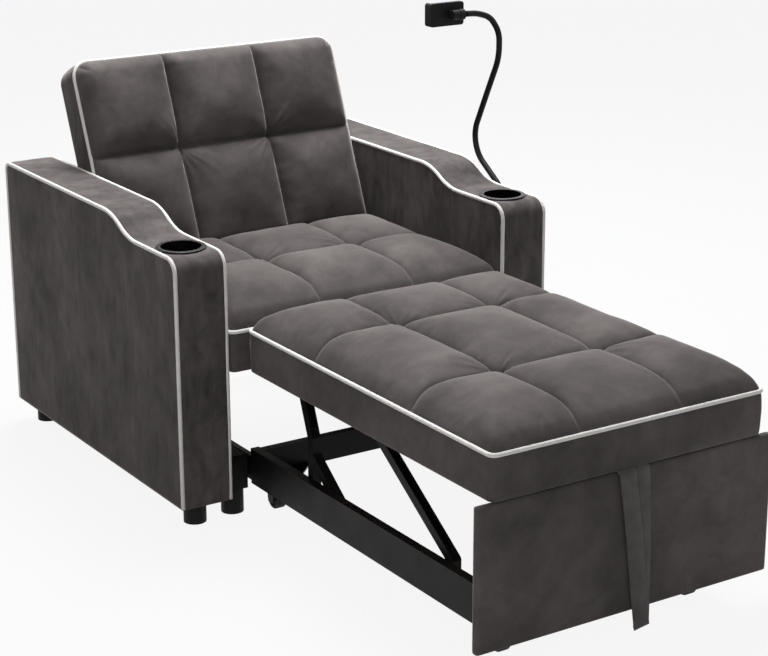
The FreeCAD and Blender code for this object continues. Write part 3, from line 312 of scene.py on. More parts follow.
def velvet_material(name, streaks, shade=1.0):
    material, tree, shader = new_material(
        name, roughness=0.86, Specular_IOR_Level=0.15, Sheen_Weight=0.52, Sheen_Roughness=0.30,
        Sheen_Tint=SHEEN_TINT)
    where = object_place(tree)
    broad = noise_node(tree, where, 7.0, 3.0, 0.6)
    stretch = (1.0, 1.0, 0.55) if streaks else None
    crushed = noise_node(tree, where, 24.0, 5.0, 0.62, stretch, distortion=0.9)
    fibre = noise_node(tree, where, 900.0, 2.0, 0.6)
    dark = tuple(shade * c for c in VELVET_DARK)
    light = tuple(shade * c for c in VELVET_LIGHT)
    colour = ramp(tree, broad, [(0.30, dark), (0.72, light)])
    darkest, lightest = (0.62, 1.16) if streaks else (0.80, 1.06)
    patches = ramp(tree, crushed, [(0.32, darkest), (0.62, lightest)])
    colour = blend_colour(tree, 1.0, colour, patches, "MULTIPLY")
    if streaks:
        nap = noise_node(tree, where, 42.0, 4.0, 0.6, stretch=(1.0, 1.0, 0.16))
        nap = ramp(tree, nap, [(0.35, 0.84), (0.66, 1.12)])
        colour = blend_colour(tree, 1.0, colour, nap, "MULTIPLY")
    speckle = ramp(tree, fibre, [(0.3, 0.90), (0.7, 1.08)])
    colour = blend_colour(tree, 1.0, colour, speckle, "MULTIPLY")
    tree.links.new(colour, shader.inputs["Base Color"])
    tree.links.new(ramp(tree, crushed, [(0.3, 0.78), (0.7, 0.93)]), shader.inputs["Roughness"])
    ripple = noise_node(tree, where, 55.0, 3.0, 0.5)
    bump(tree, shader, [(ripple, 0.0015, 0.35), (crushed, 0.0012, 0.25), (fibre, 0.00025, 0.5)])
    return material


def piping_material():
    material, tree, shader = new_material("piping_cord", roughness=0.82, Sheen_Weight=0.15,
                                          Sheen_Roughness=0.4)
    where = object_place(tree)
    twill = add(tree, "ShaderNodeTexWave", wave_type="BANDS", bands_direction="DIAGONAL", Scale=420.0,
                Distortion=1.2, Detail=1.0)
    tree.links.new(where, twill.inputs["Vector"])
    soft = noise_node(tree, where, 60.0, 3.0)
    colour = ramp(tree, soft, [(0.3, PIPING_DARK), (0.7, PIPING_LIGHT)])
    threads = ramp(tree, twill.outputs["Fac"], [(0.0, 0.82), (0.8, 1.0)])
    colour = blend_colour(tree, 0.35, colour, threads, "MULTIPLY")
    tree.links.new(colour, shader.inputs["Base Color"])
    bump(tree, shader, [(twill.outputs["Fac"], 0.0003, 0.5), (soft, 0.0006, 0.4)])
    return material


def coated_material(name, base, roughness, wear, grain=700.0, spec=0.12):
    """Paint or plastic: its colour rises by wear in patches, and grain is the scale of its skin."""
    material, tree, shader = new_material(name, roughness=roughness, Specular_IOR_Level=spec)
    where = object_place(tree)
    patches = noise_node(tree, where, 18.0, 5.0, 0.65)
    peel = noise_node(tree, where, grain, 2.0, 0.5)
    tint = tuple(c + wear for c in base)
    colour = ramp(tree, patches, [(0.35, base), (0.78, tint)])
    tree.links.new(colour, shader.inputs["Base Color"])
    tree.links.new(ramp(tree, patches, [(0.3, roughness - 0.06), (0.75, min(roughness + 0.12, 1.0))]),
                   shader.inputs["Roughness"])
    bump(tree, shader, [(peel, 0.0002, 0.35), (patches, 0.0006, 0.12)])
    return material


def wood_material(name, base, dark, roughness):
    material, tree, shader = new_material(name, roughness=roughness)
    where = object_place(tree)
    grain = noise_node(tree, where, 30.0, 6.0, 0.6, stretch=(1.0, 0.08, 1.0), distortion=0.6)
    fine = noise_node(tree, where, 260.0, 3.0, 0.6, stretch=(1.0, 0.05, 1.0))
    colour = ramp(tree, grain, [(0.3, dark), (0.62, base)])
    colour = blend_colour(tree, 0.5, colour, ramp(tree, fine, [(0.3, 0.8), (0.7, 1.05)]), "MULTIPLY")
    tree.links.new(colour, shader.inputs["Base Color"])
    bump(tree, shader, [(grain, 0.0004, 0.3), (fine, 0.0002, 0.3)])
    return material


def metal_material():
    material, tree, shader = new_material("zinc_plating", roughness=0.34, metallic=1.0)
    where = object_place(tree)
    spangle = noise_node(tree, where, 220.0, 3.0)
    colour = ramp(tree, spangle, [(0.3, ZINC_DARK), (0.7, ZINC_LIGHT)])
    tree.links.new(colour, shader.inputs["Base Color"])
    tree.links.new(ramp(tree, spangle, [(0.3, 0.26), (0.7, 0.42)]), shader.inputs["Roughness"])
    return material


def webbing_material():
    material, tree, shader = new_material("strap_webbing", roughness=0.9, Sheen_Weight=0.35,
                                          Sheen_Roughness=0.4)
    where = object_place(tree)
    ribs = add(tree, "ShaderNodeTexWave", wave_type="BANDS", bands_direction="Z", Scale=180.0,
               Distortion=0.4)
    tree.links.new(where, ribs.inputs["Vector"])
    soft = noise_node(tree, where, 30.0, 4.0)
    colour = ramp(tree, soft, [(0.3, WEBBING_DARK), (0.7, WEBBING_LIGHT)])
    threads = ramp(tree, ribs.outputs["Fac"], [(0.0, 0.7), (1.0, 1.1)])
    colour = blend_colour(tree, 0.5, colour, threads, "MULTIPLY")
    tree.links.new(colour, shader.inputs["Base Color"])
    bump(tree, shader, [(ribs.outputs["Fac"], 0.0004, 0.6), (soft, 0.001, 0.3)])
    return material


VELVET = velvet_material("velvet_smooth", False)
VELVET_SIDE = velvet_material("velvet_crushed", True, 0.94)
PIPING = piping_material()
STEEL = coated_material("black_powder_coat", (0.0045, 0.0045, 0.005), 0.42, 0.005)
BEAM = coated_material("black_painted_beam", (0.0035, 0.0035, 0.004), 0.55, 0.005, grain=380.0)
PLASTIC = coated_material("black_matt_plastic", (0.009, 0.009, 0.0095), 0.5, 0.006, grain=1400.0)
CUP_PLASTIC = coated_material("black_gloss_plastic", (0.004, 0.004, 0.0045), 0.24, 0.003, grain=900.0)
NECK = coated_material("gooseneck_skin", (0.010, 0.010, 0.012), 0.36, 0.006, grain=1100.0)
RUBBER = coated_material("wheel_rubber", (0.016, 0.016, 0.017), 0.72, 0.014, grain=1000.0, spec=0.3)
BOARD = wood_material("plywood", PLYWOOD, PLYWOOD_GRAIN, 0.62)
ZINC = metal_material()
WEBBING = webbing_material()
LINING = coated_material("black_lining", (0.020, 0.020, 0.021), 0.9, 0.01, grain=1600.0, spec=0.2)

NODE_MATERIALS = {
    "black_steel": STEEL, "zinc": ZINC, "black_plastic": PLASTIC, "cup_plastic": CUP_PLASTIC,
    "wheel_rubber": RUBBER, "black_beam": BEAM, "board": BOARD, "velvet": VELVET_SIDE, "piping": PIPING,
    "lining": LINING,
}
for part in frame["record"]["subparts"]:
    for place in frame["nodes"][part["node"]].material_slots:
        place.material = NODE_MATERIALS[part["material_slot"]]
for place in frame["nodes"]["gooseneck"].material_slots:
    place.material = NECK


# Quilted cushions
def spaced(stops, step):
    """Grid lines that pass through every stop and lie closer together near each of them."""
    lines = []
    for low, high in zip(stops, stops[1:]):
        count = max(int(round((high - low) / step)), 4)
        s = np.linspace(0, 1, count + 1)
        lines.append(low + (high - low) * (0.55 * s + 0.45 * 0.5 * (1 - np.cos(math.pi * s)))[:-1])
    return np.concatenate(lines + [[stops[-1]]])


def round_corners(u, v, half, v_range, radii):
    """Moves grid points in the corner squares onto rounded corners.

    radii are those at the low and the high end of v.
    """
    middle = (v_range[0] + v_range[1]) / 2
    radius = np.where(v < middle, radii[0], radii[1])
    cu = half - radius
    cv = np.where(v < middle, v_range[0] + radius, v_range[1] - radius)
    qu = np.abs(u) - cu
    qv = np.where(v < middle, cv - v, v - cv)
    corner = (qu > 0) & (qv > 0) & (radius > 0)
    largest = np.maximum(qu, qv)
    length = np.hypot(qu, qv) + 1e-9
    k = np.where(corner, largest / length, 1.0)
    new_u = np.where(corner, np.sign(u) * (cu + qu * k), u)
    new_v = np.where(corner, np.where(v < middle, cv - qv * k, cv + qv * k), v)
    return new_u, new_v


def shoulder(distance, reach, power=2.0):
    """Rises from 0 at an edge to 1 at the reach, round like a quarter of an ellipse."""
    return (1 - (1 - np.clip(distance / reach, 0, 1)) ** power) ** (1 / power)


def dome(place):
    """Section of a puff, from 0 at place -1 over 1 at its middle to 0 at place 1."""
    return (1 - np.abs(place) ** 2.0) ** DOME_POWER


def puffs(value, stops, levels):
    """Height of a row of puffs across its seams; the outer ones fall to the cushion's edge."""
    seam, crest, side, edge = levels
    last = len(stops) - 2
    k = np.clip(np.searchsorted(stops, value, side="right") - 1, 0, last)
    low = np.take(stops, k)
    share = (value - low) / (np.take(stops, k + 1) - low)
    height = seam + (crest - seam) * dome(2 * share - 1)
    for outer, from_seam in ((k == 0, 1 - share), (k == last, share)):
        swell = seam + (side - seam) * dome(1 - np.clip(from_seam / OUTER_CREST, 0, 1))
        fall = (side - edge) * np.clip((from_seam - 0.25) / 0.75, 0, 1) ** 2.5
        height = np.where(outer, swell - fall, height)
    return height


def quilt_surface(half, v_range, seams_v, levels, pit, radii, rounding, seed):
    """Top of a tufted cushion as a grid of u, v and the height above its piping.

    pit is the depth of its tufts, radii are those of its low and high corners, and rounding is
    the width of its rounded edge.
    """
    stops_u = [-half, -COLUMN_SEAM, COLUMN_SEAM, half]
    stops_v = [v_range[0], *seams_v, v_range[1]]
    u, v = np.meshgrid(spaced(stops_u, QUILT_STEP), spaced(stops_v, QUILT_STEP))
    edge_u = half - np.abs(u)
    edge_v = np.minimum(v - v_range[0], v_range[1] - v)
    across = puffs(u, stops_u, levels)
    along = puffs(v, stops_v, levels)
    # The lower of the two, with a soft change from one to the other
    height = -PUFF_BLEND * np.log(np.exp(-across / PUFF_BLEND) + np.exp(-along / PUFF_BLEND))
    to_u = np.min([np.abs(u - s) for s in stops_u[1:-1]], axis=0)
    to_v = np.min([np.abs(v - s) for s in seams_v], axis=0)
    flat = np.stack([u, v, np.zeros_like(u)], -1).reshape(-1, 3)
    broad = wander(flat, 150.0, seed).reshape(u.shape)
    medium = wander(flat, 46.0, seed + 1).reshape(u.shape)
    fine = wander(flat, 21.0, seed + 2).reshape(u.shape)
    height += 2.6 * broad + 1.2 * medium
    # Stitch lines pull a narrow groove, with small puckers across it
    for distance, run in ((to_u, v), (to_v, u)):
        height -= (GROOVE_DEPTH + 2.0 * medium) * np.exp(-distance / GROOVE_WIDTH)
        pucker = np.sin(run / 5.2 + 4.0 * medium) * np.exp(-distance / 15.0)
        pucker = pucker * np.clip(distance / 3.0, 0, 1)
        height += 0.9 * pucker * np.clip(0.35 + 1.2 * broad + 0.5 * fine, 0, 1.2)
    # Tufts: a deep pull where the seams cross, with a fan of folds that runs out from each
    for tuft_u in stops_u[1:-1]:
        for n, tuft_v in enumerate(seams_v):
            away = np.hypot(u - tuft_u, v - tuft_v)
            angle = np.arctan2(v - tuft_v, u - tuft_u)
            height -= pit * np.exp(-(away / PIT_WIDTH) ** 1.1)
            phase = seed + 2.2 * n + 0.02 * tuft_u
            ridges = np.cos(19 * angle + phase + 1.8 * medium) + 0.5 * np.cos(31 * angle + 2 * phase)
            reach = np.clip(away / 12.0, 0, 1) * np.exp(-(away / FOLD_LENGTH) ** 1.6)
            fan = 0.45 + 0.9 * np.cos(2 * angle - phase) + 0.5 * np.cos(angle + 2 * phase)
            height += FOLD_HEIGHT * ridges * reach * np.clip(fan, 0.08, 1.3)
    # The piping seam gathers the cloth a little
    nearest = np.minimum(edge_u, edge_v)
    run = np.where(edge_u < edge_v, v, u)
    gathers = np.sin(run / 7.0 + 5 * medium) * np.exp(-((nearest - 14.0) / 13.0) ** 2)
    height += 0.9 * gathers * np.clip(0.2 + 1.2 * broad, 0, 1)
    height = height * shoulder(edge_u, rounding) * shoulder(edge_v, rounding)
    place_u, place_v = round_corners(u, v, half, v_range, radii)
    return np.stack([place_u, place_v, height], -1)


def close_below(points, steps):
    """Closes a surface with rings below its border, each given as (inset, height), and a flat face.

    Gives the vertices and faces of the whole.
    """
    rows, columns = points.shape[:2]
    border = [(0, j) for j in range(columns)]
    border += [(i, columns - 1) for i in range(1, rows)]
    border += [(rows - 1, j) for j in range(columns - 2, -1, -1)]
    border += [(i, 0) for i in range(rows - 2, 0, -1)]
    index = np.array([i * columns + j for i, j in border])
    ring = points.reshape(-1, 3)[index]
    tangent = np.roll(ring, -1, 0)[:, :2] - np.roll(ring, 1, 0)[:, :2]
    inward = np.stack([-tangent[:, 1], tangent[:, 0]], 1)
    inward /= np.linalg.norm(inward, axis=1)[:, None] + 1e-9
    vertices = points.reshape(-1, 3)
    faces = grid_faces(rows, columns)
    last = index
    for inset, height in steps:
        lower = ring.copy()
        lower[:, :2] += inward * inset
        lower[:, 2] = height
        start = len(vertices)
        vertices = np.vstack([vertices, lower])
        fresh = np.arange(start, start + len(ring))
        faces += [(last[k], last[k - 1], fresh[k - 1], fresh[k]) for k in range(len(ring))]
        last = fresh
    faces.append(tuple(last))
    return vertices, faces


def flat_cushion(name, node, body, half, y, seams, piping, levels, seed):
    """Quilted top of the seat or the pad, from its piping down to the deck it lies on."""
    surface = quilt_surface(half - CUSHION_INSET, (y[0] + CUSHION_INSET, y[1] - CUSHION_INSET), seams,
                            levels, FLAT_PIT, (CUSHION_CORNER, CUSHION_CORNER), FLAT_ROUNDING, seed)
    vertices, faces = close_below(surface, [(1.4, -1.5), (2.6, -4.6), (2.8, DECK_TOP - piping)])
    piece = make_mesh(name, vertices + [0, 0, piping], faces, VELVET, body)
    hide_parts(node)
    return piece


def band(name, node, body, half, y, bottom, top, seed, closed):
    """Boxing band round an upholstered box: a strip with a soft face, turned in at both edges."""
    levels = 15
    heights = np.linspace(bottom + 2, top - 1, levels)
    section = [(16.0, bottom + 0.2), (3.0, bottom + 0.1)]
    section += [(0.6 if k in (0, levels - 1) else 0.0, z) for k, z in enumerate(heights)]
    section += [(2.0, top), (3.0, top - 1.5), (3.0, bottom + 2.5), (16.0, bottom + 2.0)]
    loop = rounded_loop(half, y, 0.0, BOX_CORNER, 0.0, closed)
    tangent = np.roll(loop, -1, 0) - np.roll(loop, 1, 0)
    if not closed:
        tangent[0] = loop[1] - loop[0]
        tangent[-1] = loop[-1] - loop[-2]
    tangent /= np.linalg.norm(tangent, axis=1)[:, None]
    inward = np.stack([-tangent[:, 1], tangent[:, 0], np.zeros(len(loop))], 1)
    rings = []
    for point, into in zip(loop, inward):
        for inset, z in section:
            rings.append(point + into * inset + UP * z)
    points = np.array(rings)
    count = len(section)
    # Only the face between its two edges swells
    outside = np.zeros(len(points), bool).reshape(len(loop), count)
    outside[:, 3:levels + 1] = True
    outside = outside.reshape(-1)
    z = points[:, 2]
    swell = np.clip(1 - ((z - (bottom + top) / 2) / ((top - bottom) / 2)) ** 2, 0, 1)
    waves = wander(points, 70.0, seed) * 1.2 + wander(points, 22.0, seed + 3) * 0.5
    move = np.where(outside, swell * (1.3 + waves), 0.0)
    points -= np.repeat(inward, count, 0) * move[:, None]
    faces = grid_faces(len(loop), count, wrap=True)
    if closed:
        last = (len(loop) - 1) * count
        faces += [(last + j, last + (j + 1) % count, (j + 1) % count, j) for j in range(count)]
    else:
        faces += [tuple(range(count)), tuple(range((len(loop) - 1) * count, len(loop) * count))[::-1]]
    piece = make_mesh(name, points, faces, VELVET, body)
    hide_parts(node)
    return piece


# Seat and leg pad
flat_cushion("seat_quilt", "seat_cushion", "chair", SEAT_HALF, SEAT_Y, SEAT_SEAMS, SEAT_PIPING,
             SEAT_LEVELS, 3)
flat_cushion("pad_quilt", "pad_cushion", "leg_pad", PAD_HALF, PAD_Y, PAD_SEAMS, PAD_PIPING,
             PAD_LEVELS, 8)
band("seat_band", "seat_skirt", "chair", SEAT_HALF, SEAT_BAND_Y, 308.0, 384.0, 5, False)
band("pad_band", "pad_skirt", "leg_pad", PAD_HALF, PAD_Y, 313.5, 390.0, 6, True)
seat_loop = rounded_loop(SEAT_HALF, SEAT_BAND_Y, SEAT_PIPING, BOX_CORNER, PIPING_INSET, False)
seat_pipe = tube("seat_piping_cord", seat_loop, PIPING_RADIUS, PIPING, "chair",
                 ripple=PIPING_RIPPLE)
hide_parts("seat_piping")
pad_loop = rounded_loop(PAD_HALF, PAD_Y, PAD_PIPING, BOX_CORNER, PIPING_INSET)
pad_pipe = tube("pad_piping_cord", pad_loop, PIPING_RADIUS, PIPING, "leg_pad", closed=True,
                ripple=PIPING_RIPPLE)
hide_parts("pad_piping")


# Backrest
LEAN_UP = np.array([0.0, math.sin(BACK_LEAN), math.cos(BACK_LEAN)])
LEAN_OUT = np.array([0.0, -math.cos(BACK_LEAN), math.sin(BACK_LEAN)])


def leaned(points):
    """From (across, up the back, out of its front) to the drawing."""
    points = np.asarray(points, float)
    return (np.array(HINGE) + points[..., 0:1] * np.array([1.0, 0, 0]) + points[..., 1:2] * LEAN_UP
            + points[..., 2:3] * LEAN_OUT)


def back_loop(depth, inset):
    """Path up one side of the back, over its top and down the other side."""
    x = BACK_HALF - inset
    top = BACK_RANGE[1] - inset
    r = BACK_CORNER - inset
    path = [(-x, BACK_RANGE[0], depth)]
    for cx, start in ((-x + r, math.pi), (x - r, math.pi / 2)):
        for a in np.linspace(start, start - math.pi / 2, 13):
            path.append((cx + r * math.cos(a), top - r + r * math.sin(a), depth))
    path.append((x, BACK_RANGE[0], depth))
    return resample(path, 5.0)


back_top = quilt_surface(BACK_HALF - CUSHION_INSET, (BACK_RANGE[0], BACK_RANGE[1] - CUSHION_INSET),
                         BACK_SEAMS, BACK_LEVELS, BACK_PIT, (0.0, BACK_CORNER - CUSHION_INSET),
                         BACK_ROUNDING, 12)
vertices, faces = close_below(back_top, [(1.2, -1.5), (2.0, -3.0), (2.4, -5.0)])
vertices = leaned(vertices + [0, 0, BACK_PIPING])
back_quilt = make_mesh("back_quilt", vertices, faces, VELVET, "backrest")
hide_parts("back_cushion")
back_pipe = tube("back_piping_cord", leaned(back_loop(BACK_PIPING, PIPING_INSET)), PIPING_RADIUS, PIPING,
                 "backrest", ripple=PIPING_RIPPLE)
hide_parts("back_piping")


def back_shell():
    """Boxing and rear cover of the back, drawn as a cushion whose top is the rear face."""
    margin = 4.0
    u, v = np.meshgrid(np.linspace(margin - BACK_HALF, BACK_HALF - margin, 110),
                       np.linspace(BACK_RANGE[0] + margin, BACK_RANGE[1] - margin, 76))
    flat = np.stack([u, v, np.zeros_like(u)], -1).reshape(-1, 3)
    waves = (wander(flat, 120.0, 21) * 1.6 + wander(flat, 38.0, 22) * 0.6).reshape(u.shape)
    edge = np.minimum(BACK_HALF - margin - np.abs(u), np.minimum(v - flat[0, 1], flat[-1, 1] - v))
    height = BACK_REAR - 1.0 + (0.8 + waves) * shoulder(edge, 60.0)
    place_u, place_v = round_corners(u, v, BACK_HALF - margin, (flat[0, 1], flat[-1, 1]),
                                     (0.0, BACK_CORNER - margin))
    top = np.stack([place_u, place_v, height], -1)
    steps = [(-2.6, BACK_REAR - 2.0), (-3.6, BACK_REAR - 4.0), (-4.1, BACK_REAR - 8.0)]
    for share in np.linspace(0.12, 1.0, 9):
        steps.append((-4.0 - 1.6 * math.sin(math.pi * share), (BACK_REAR - 8.0) * (1 - share) - 13.0 * share))
    vertices, faces = close_below(top, steps + [(-1.0, -14.5)])
    vertices = vertices * [1, 1, -1]
    grain = wander(vertices, 60.0, 23) * 0.9 + wander(vertices, 20.0, 24) * 0.35
    on_side = (vertices[:, 2] > 9.0 - BACK_REAR) & (vertices[:, 2] < 11.0)
    vertices[:, 0] += np.sign(vertices[:, 0]) * on_side * (np.abs(vertices[:, 0]) > BACK_HALF - 2) * grain
    piece = make_mesh("back_shell", leaned(vertices), faces, VELVET_SIDE, "backrest")
    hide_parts("back_cover")


back_shell()


# Arms
def arm_outline(inset):
    """Side outline of an arm from the front foot over the top to the rear foot, as (y, z)."""
    run = SLOPE[1] - SLOPE[0]
    rise = ARM_TOP_REAR - ARM_TOP_FRONT
    radius = (run ** 2 + rise ** 2) / (4 * rise)
    half = math.asin(run / 2 / radius)
    front, rear = (max(r - inset, 2.0) for r in ARM_RADII)
    points = []
    for a in np.linspace(math.pi, math.pi / 2, 9):
        points.append((inset + front + front * math.cos(a),
                       ARM_TOP_FRONT - inset - front + front * math.sin(a)))
    low = (SLOPE[0], ARM_TOP_FRONT + radius)
    for a in np.linspace(0, half, 9):
        points.append((low[0] + (radius + inset) * math.sin(a), low[1] - (radius + inset) * math.cos(a)))
    high = (SLOPE[1], ARM_TOP_REAR - radius)
    for a in np.linspace(half, 0, 9)[1:]:
        points.append((high[0] - (radius - inset) * math.sin(a), high[1] + (radius - inset) * math.cos(a)))
    for a in np.linspace(math.pi / 2, 0, 7):
        points.append((ARM_DEPTH - inset - rear + rear * math.cos(a),
                       ARM_TOP_REAR - inset - rear + rear * math.sin(a)))
    return points


def arm_cover(side):
    """Cover of one arm: two walls that bulge a little, the band between them and the underside."""
    top = arm_outline(0.0)
    path = resample([(0.0, y, z) for y, z in top], 6.0)
    rows = 84
    columns = len(path)
    share = np.linspace(0, 1, rows)[:, None]
    low = ARM_BOTTOM + 0.3
    wall_y = np.repeat(path[None, :, 1], rows, 0)
    wall_z = low + share * (path[None, :, 2] - low)
    faces = []
    points = []
    for x, way in ((ARM_INNER, -1.0), (HALF_WIDTH, 1.0)):
        wall = np.stack([np.full(wall_y.shape, x), wall_y, wall_z], -1).reshape(-1, 3)
        edge = np.minimum.reduce([wall[:, 1], ARM_DEPTH - wall[:, 1], wall[:, 2] - low,
                                  (path[None, :, 2] - wall_z).reshape(-1)])
        fade = 1 - np.exp(-np.clip(edge, 0, None) / 26.0)
        waves = wander(wall, 150.0, 31 + way) * 2.2 + wander(wall, 42.0, 33 + way) * 0.8
        bulge = np.clip(2.6 * fade + fade * waves, 0.0, 5.0 if way > 0 else 3.0)
        wall[:, 0] += way * bulge
        faces += grid_faces(rows, columns, sum(len(p) for p in points))
        points.append(wall)
    # Band between the two walls, over the front, the top and the rear
    front = [(low + s * (path[0, 2] - low)) for s in np.linspace(0, 1, rows)]
    rear = [(low + s * (path[-1, 2] - low)) for s in np.linspace(1, 0, rows)]
    line = ([(0.0, 0.0, z) for z in front] + [tuple(p) for p in path[1:-1]]
            + [(0.0, ARM_DEPTH, z) for z in rear])
    line = np.array(line)
    heading = np.gradient(line, axis=0)
    heading[:rows - 1] = (0, 0, 1)
    heading[-rows + 1:] = (0, 0, -1)
    outward = np.stack([np.zeros(len(line)), -heading[:, 2], heading[:, 1]], 1)
    outward /= np.linalg.norm(outward, axis=1)[:, None] + 1e-9
    across = np.linspace(ARM_INNER, HALF_WIDTH, 22)
    flat = np.array([line + np.array([x, 0, 0]) for x in across]).reshape(-1, 3)
    edge = np.minimum(flat[:, 0] - ARM_INNER, HALF_WIDTH - flat[:, 0])
    fade = 1 - np.exp(-edge / 11.0)
    waves = wander(flat, 110.0, 37) * 1.7 + wander(flat, 30.0, 38) * 0.8
    cross_folds = np.sin(flat[:, 1] / 9.0 + flat[:, 0] / 31.0 + 3 * wander(flat, 60.0, 39))
    on_slope = np.exp(-((flat[:, 1] - 215.0) / 70.0) ** 2) * (flat[:, 2] > 500)
    # The cover lies flat under the cup's flange
    from_cup = np.hypot(flat[:, 0] - CUP[0], flat[:, 1] - CUP[1]) - CUP_FLANGE
    near_cup = 1 - np.exp(-np.clip(from_cup, 0, None) / 16.0)
    near_cup = np.where(flat[:, 2] > 520, near_cup, 1.0)
    ground = np.clip((flat[:, 2] - low) / 30.0, 0, 1)
    lift = np.clip(fade * (2.4 + waves + 0.8 * cross_folds * on_slope), 0, 5.0) * near_cup * ground
    flat = flat + np.tile(outward, (len(across), 1)) * lift[:, None]
    start = sum(len(p) for p in points)
    faces += grid_faces(len(across), len(line), start)
    points.append(flat)
    # Underside
    start = sum(len(p) for p in points)
    under = np.array([(x, y, low) for x in across for y in path[:, 1]])
    faces += grid_faces(len(across), columns, start)
    points.append(under)
    vertices = np.vstack(points)
    vertices[:, 0] *= side
    name = "arm_upholstery_" + ("right" if side > 0 else "left")
    return make_mesh(name, vertices, faces, VELVET_SIDE, "chair")


def cut_round(piece, centre, radius, z_range):
    """Cuts an upright round hole into a piece."""
    middle = row([centre[0], centre[1], sum(z_range) / 2]).tolist()
    bpy.ops.mesh.primitive_cylinder_add(vertices=72, radius=radius / 1000.0,
                                        depth=(z_range[1] - z_range[0]) / 1000.0, location=middle)
    tool = bpy.context.object
    knife = piece.modifiers.new("well", "BOOLEAN")
    knife.operation = "DIFFERENCE"
    knife.solver = "EXACT"
    knife.object = tool
    bpy.context.view_layer.objects.active = piece
    bpy.ops.object.modifier_apply(modifier=knife.name)
    bpy.data.objects.remove(tool)


for side, word in ((1.0, "right"), (-1.0, "left")):
    cover = arm_cover(side)
    cut_round(cover, (side * CUP[0], CUP[1]), CUP_HOLE, CUP_CUT)
    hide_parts("arm_cover_" + word)
    outline = [(0.0, y, z) for y, z in arm_outline(PIPING_INSET)]
    foot = ARM_BOTTOM + 2
    for x, place in ((ARM_INNER + PIPING_INSET, "inner"), (HALF_WIDTH - PIPING_INSET, "outer")):
        path = [(0.0, PIPING_INSET, foot)] + outline
        if place == "outer":
            path += [(0.0, ARM_DEPTH - PIPING_INSET, foot)]
        path = resample(path, 5.0) + np.array([side * x, 0, 0])
        cord = tube("arm_%s_piping_%s" % (word, place), path, PIPING_RADIUS, PIPING, "chair",
                    ripple=PIPING_RIPPLE, seed=int(x))
        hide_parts("arm_piping_" + word)


# Front panel and strap
def soft_box(name, low, high, radius, step, swell, body, material, seed, waves=1.0):
    """Closed padded box: rounded edges, faces that swell a little, and soft waves."""
    low = np.array(low, float)
    high = np.array(high, float)
    points = []
    faces = []
    for axis in range(3):
        a, b = [k for k in range(3) if k != axis]
        na = max(int(round((high[a] - low[a]) / step)), 2)
        nb = max(int(round((high[b] - low[b]) / step)), 2)
        for end in (low, high):
            ga, gb = np.meshgrid(np.linspace(low[a], high[a], na + 1),
                                 np.linspace(low[b], high[b], nb + 1))
            face = np.zeros(ga.shape + (3,))
            face[..., a] = ga
            face[..., b] = gb
            face[..., axis] = end[axis]
            start = sum(len(p) for p in points)
            faces += grid_faces(nb + 1, na + 1, start)
            points.append(face.reshape(-1, 3))
    points = np.vstack(points)
    inner = np.clip(points, low + radius, high - radius)
    away = points - inner
    length = np.linalg.norm(away, axis=1)[:, None] + 1e-9
    surface = inner + away / length * radius
    share = np.abs((points - (low + high) / 2) / ((high - low) / 2))
    # Swelling belongs to the face a point lies on, and fades towards that face's edges
    face_axis = np.argmax(share, axis=1)
    other = np.array([np.delete(s, k) for s, k in zip(share, face_axis)])
    fade = np.prod(1 - other ** 4, axis=1)
    amount = swell[0] * (face_axis == 0) + swell[1] * (face_axis == 1) + swell[2] * (face_axis == 2)
    wave = wander(surface, 80.0, seed) * waves + wander(surface, 24.0, seed + 2) * 0.4 * waves
    move = fade * np.clip(amount + wave * (amount > 0), 0, None)
    surface += away / length * move[:, None]
    return make_mesh(name, surface, faces, material, body)


panel = soft_box("front_panel_upholstery", (-PANEL_HALF, PANEL_FRONT, PANEL_BOTTOM),
                 (PANEL_HALF, PANEL_REAR, PANEL_TOP), 4.0, 6.0, (0.4, 1.5, 0.4), "bed_frame", VELVET, 51, 1.1)
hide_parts("front_panel_cover")


def strap_middle(z, front):
    """Where the middle of a strand lies across; the front one slants, and both meet at the foot."""
    share = (STRAP_TOP - z) / (STRAP_TOP - STRAP_FOOT)
    if front:
        return -16.0 + 44.0 * share
    return 17.0 + 11.0 * share + 3.0 * math.sin(math.pi * share)


def strap_strand(name, path):
    """Flat band along a path, its face turned with it, with bevelled edges and two shallow dips along one
    face.
    """
    half = STRAP_HALF
    thick = STRAP_THICK
    path = resample(path, 5.0)
    heading = np.gradient(path, axis=0)
    heading /= np.linalg.norm(heading, axis=1)[:, None]
    wide = np.tile(np.array([1.0, 0, 0]), (len(path), 1))
    wide -= heading * (wide * heading).sum(1)[:, None]
    wide /= np.linalg.norm(wide, axis=1)[:, None]
    out = np.cross(wide, heading)
    section = [(-half, -0.4), (-half, 0.4), (-half + 1.0, thick / 2), (-half / 2, thick / 2 - 0.25),
               (0, thick / 2), (half / 2, thick / 2 - 0.25), (half - 1.0, thick / 2), (half, 0.4),
               (half, -0.4), (half - 1.0, -thick / 2), (0, -thick / 2), (-half + 1.0, -thick / 2)]
    points = []
    for k in range(len(path)):
        for a, b in section:
            points.append(path[k] + wide[k] * a + out[k] * b)
    count = len(section)
    faces = grid_faces(len(path), count, wrap=True)
    faces += [tuple(range(count)), tuple(range((len(path) - 1) * count, len(path) * count))[::-1]]
    strand = make_mesh(name, points, faces, WEBBING, "bed_frame")
    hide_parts("pull_strap")


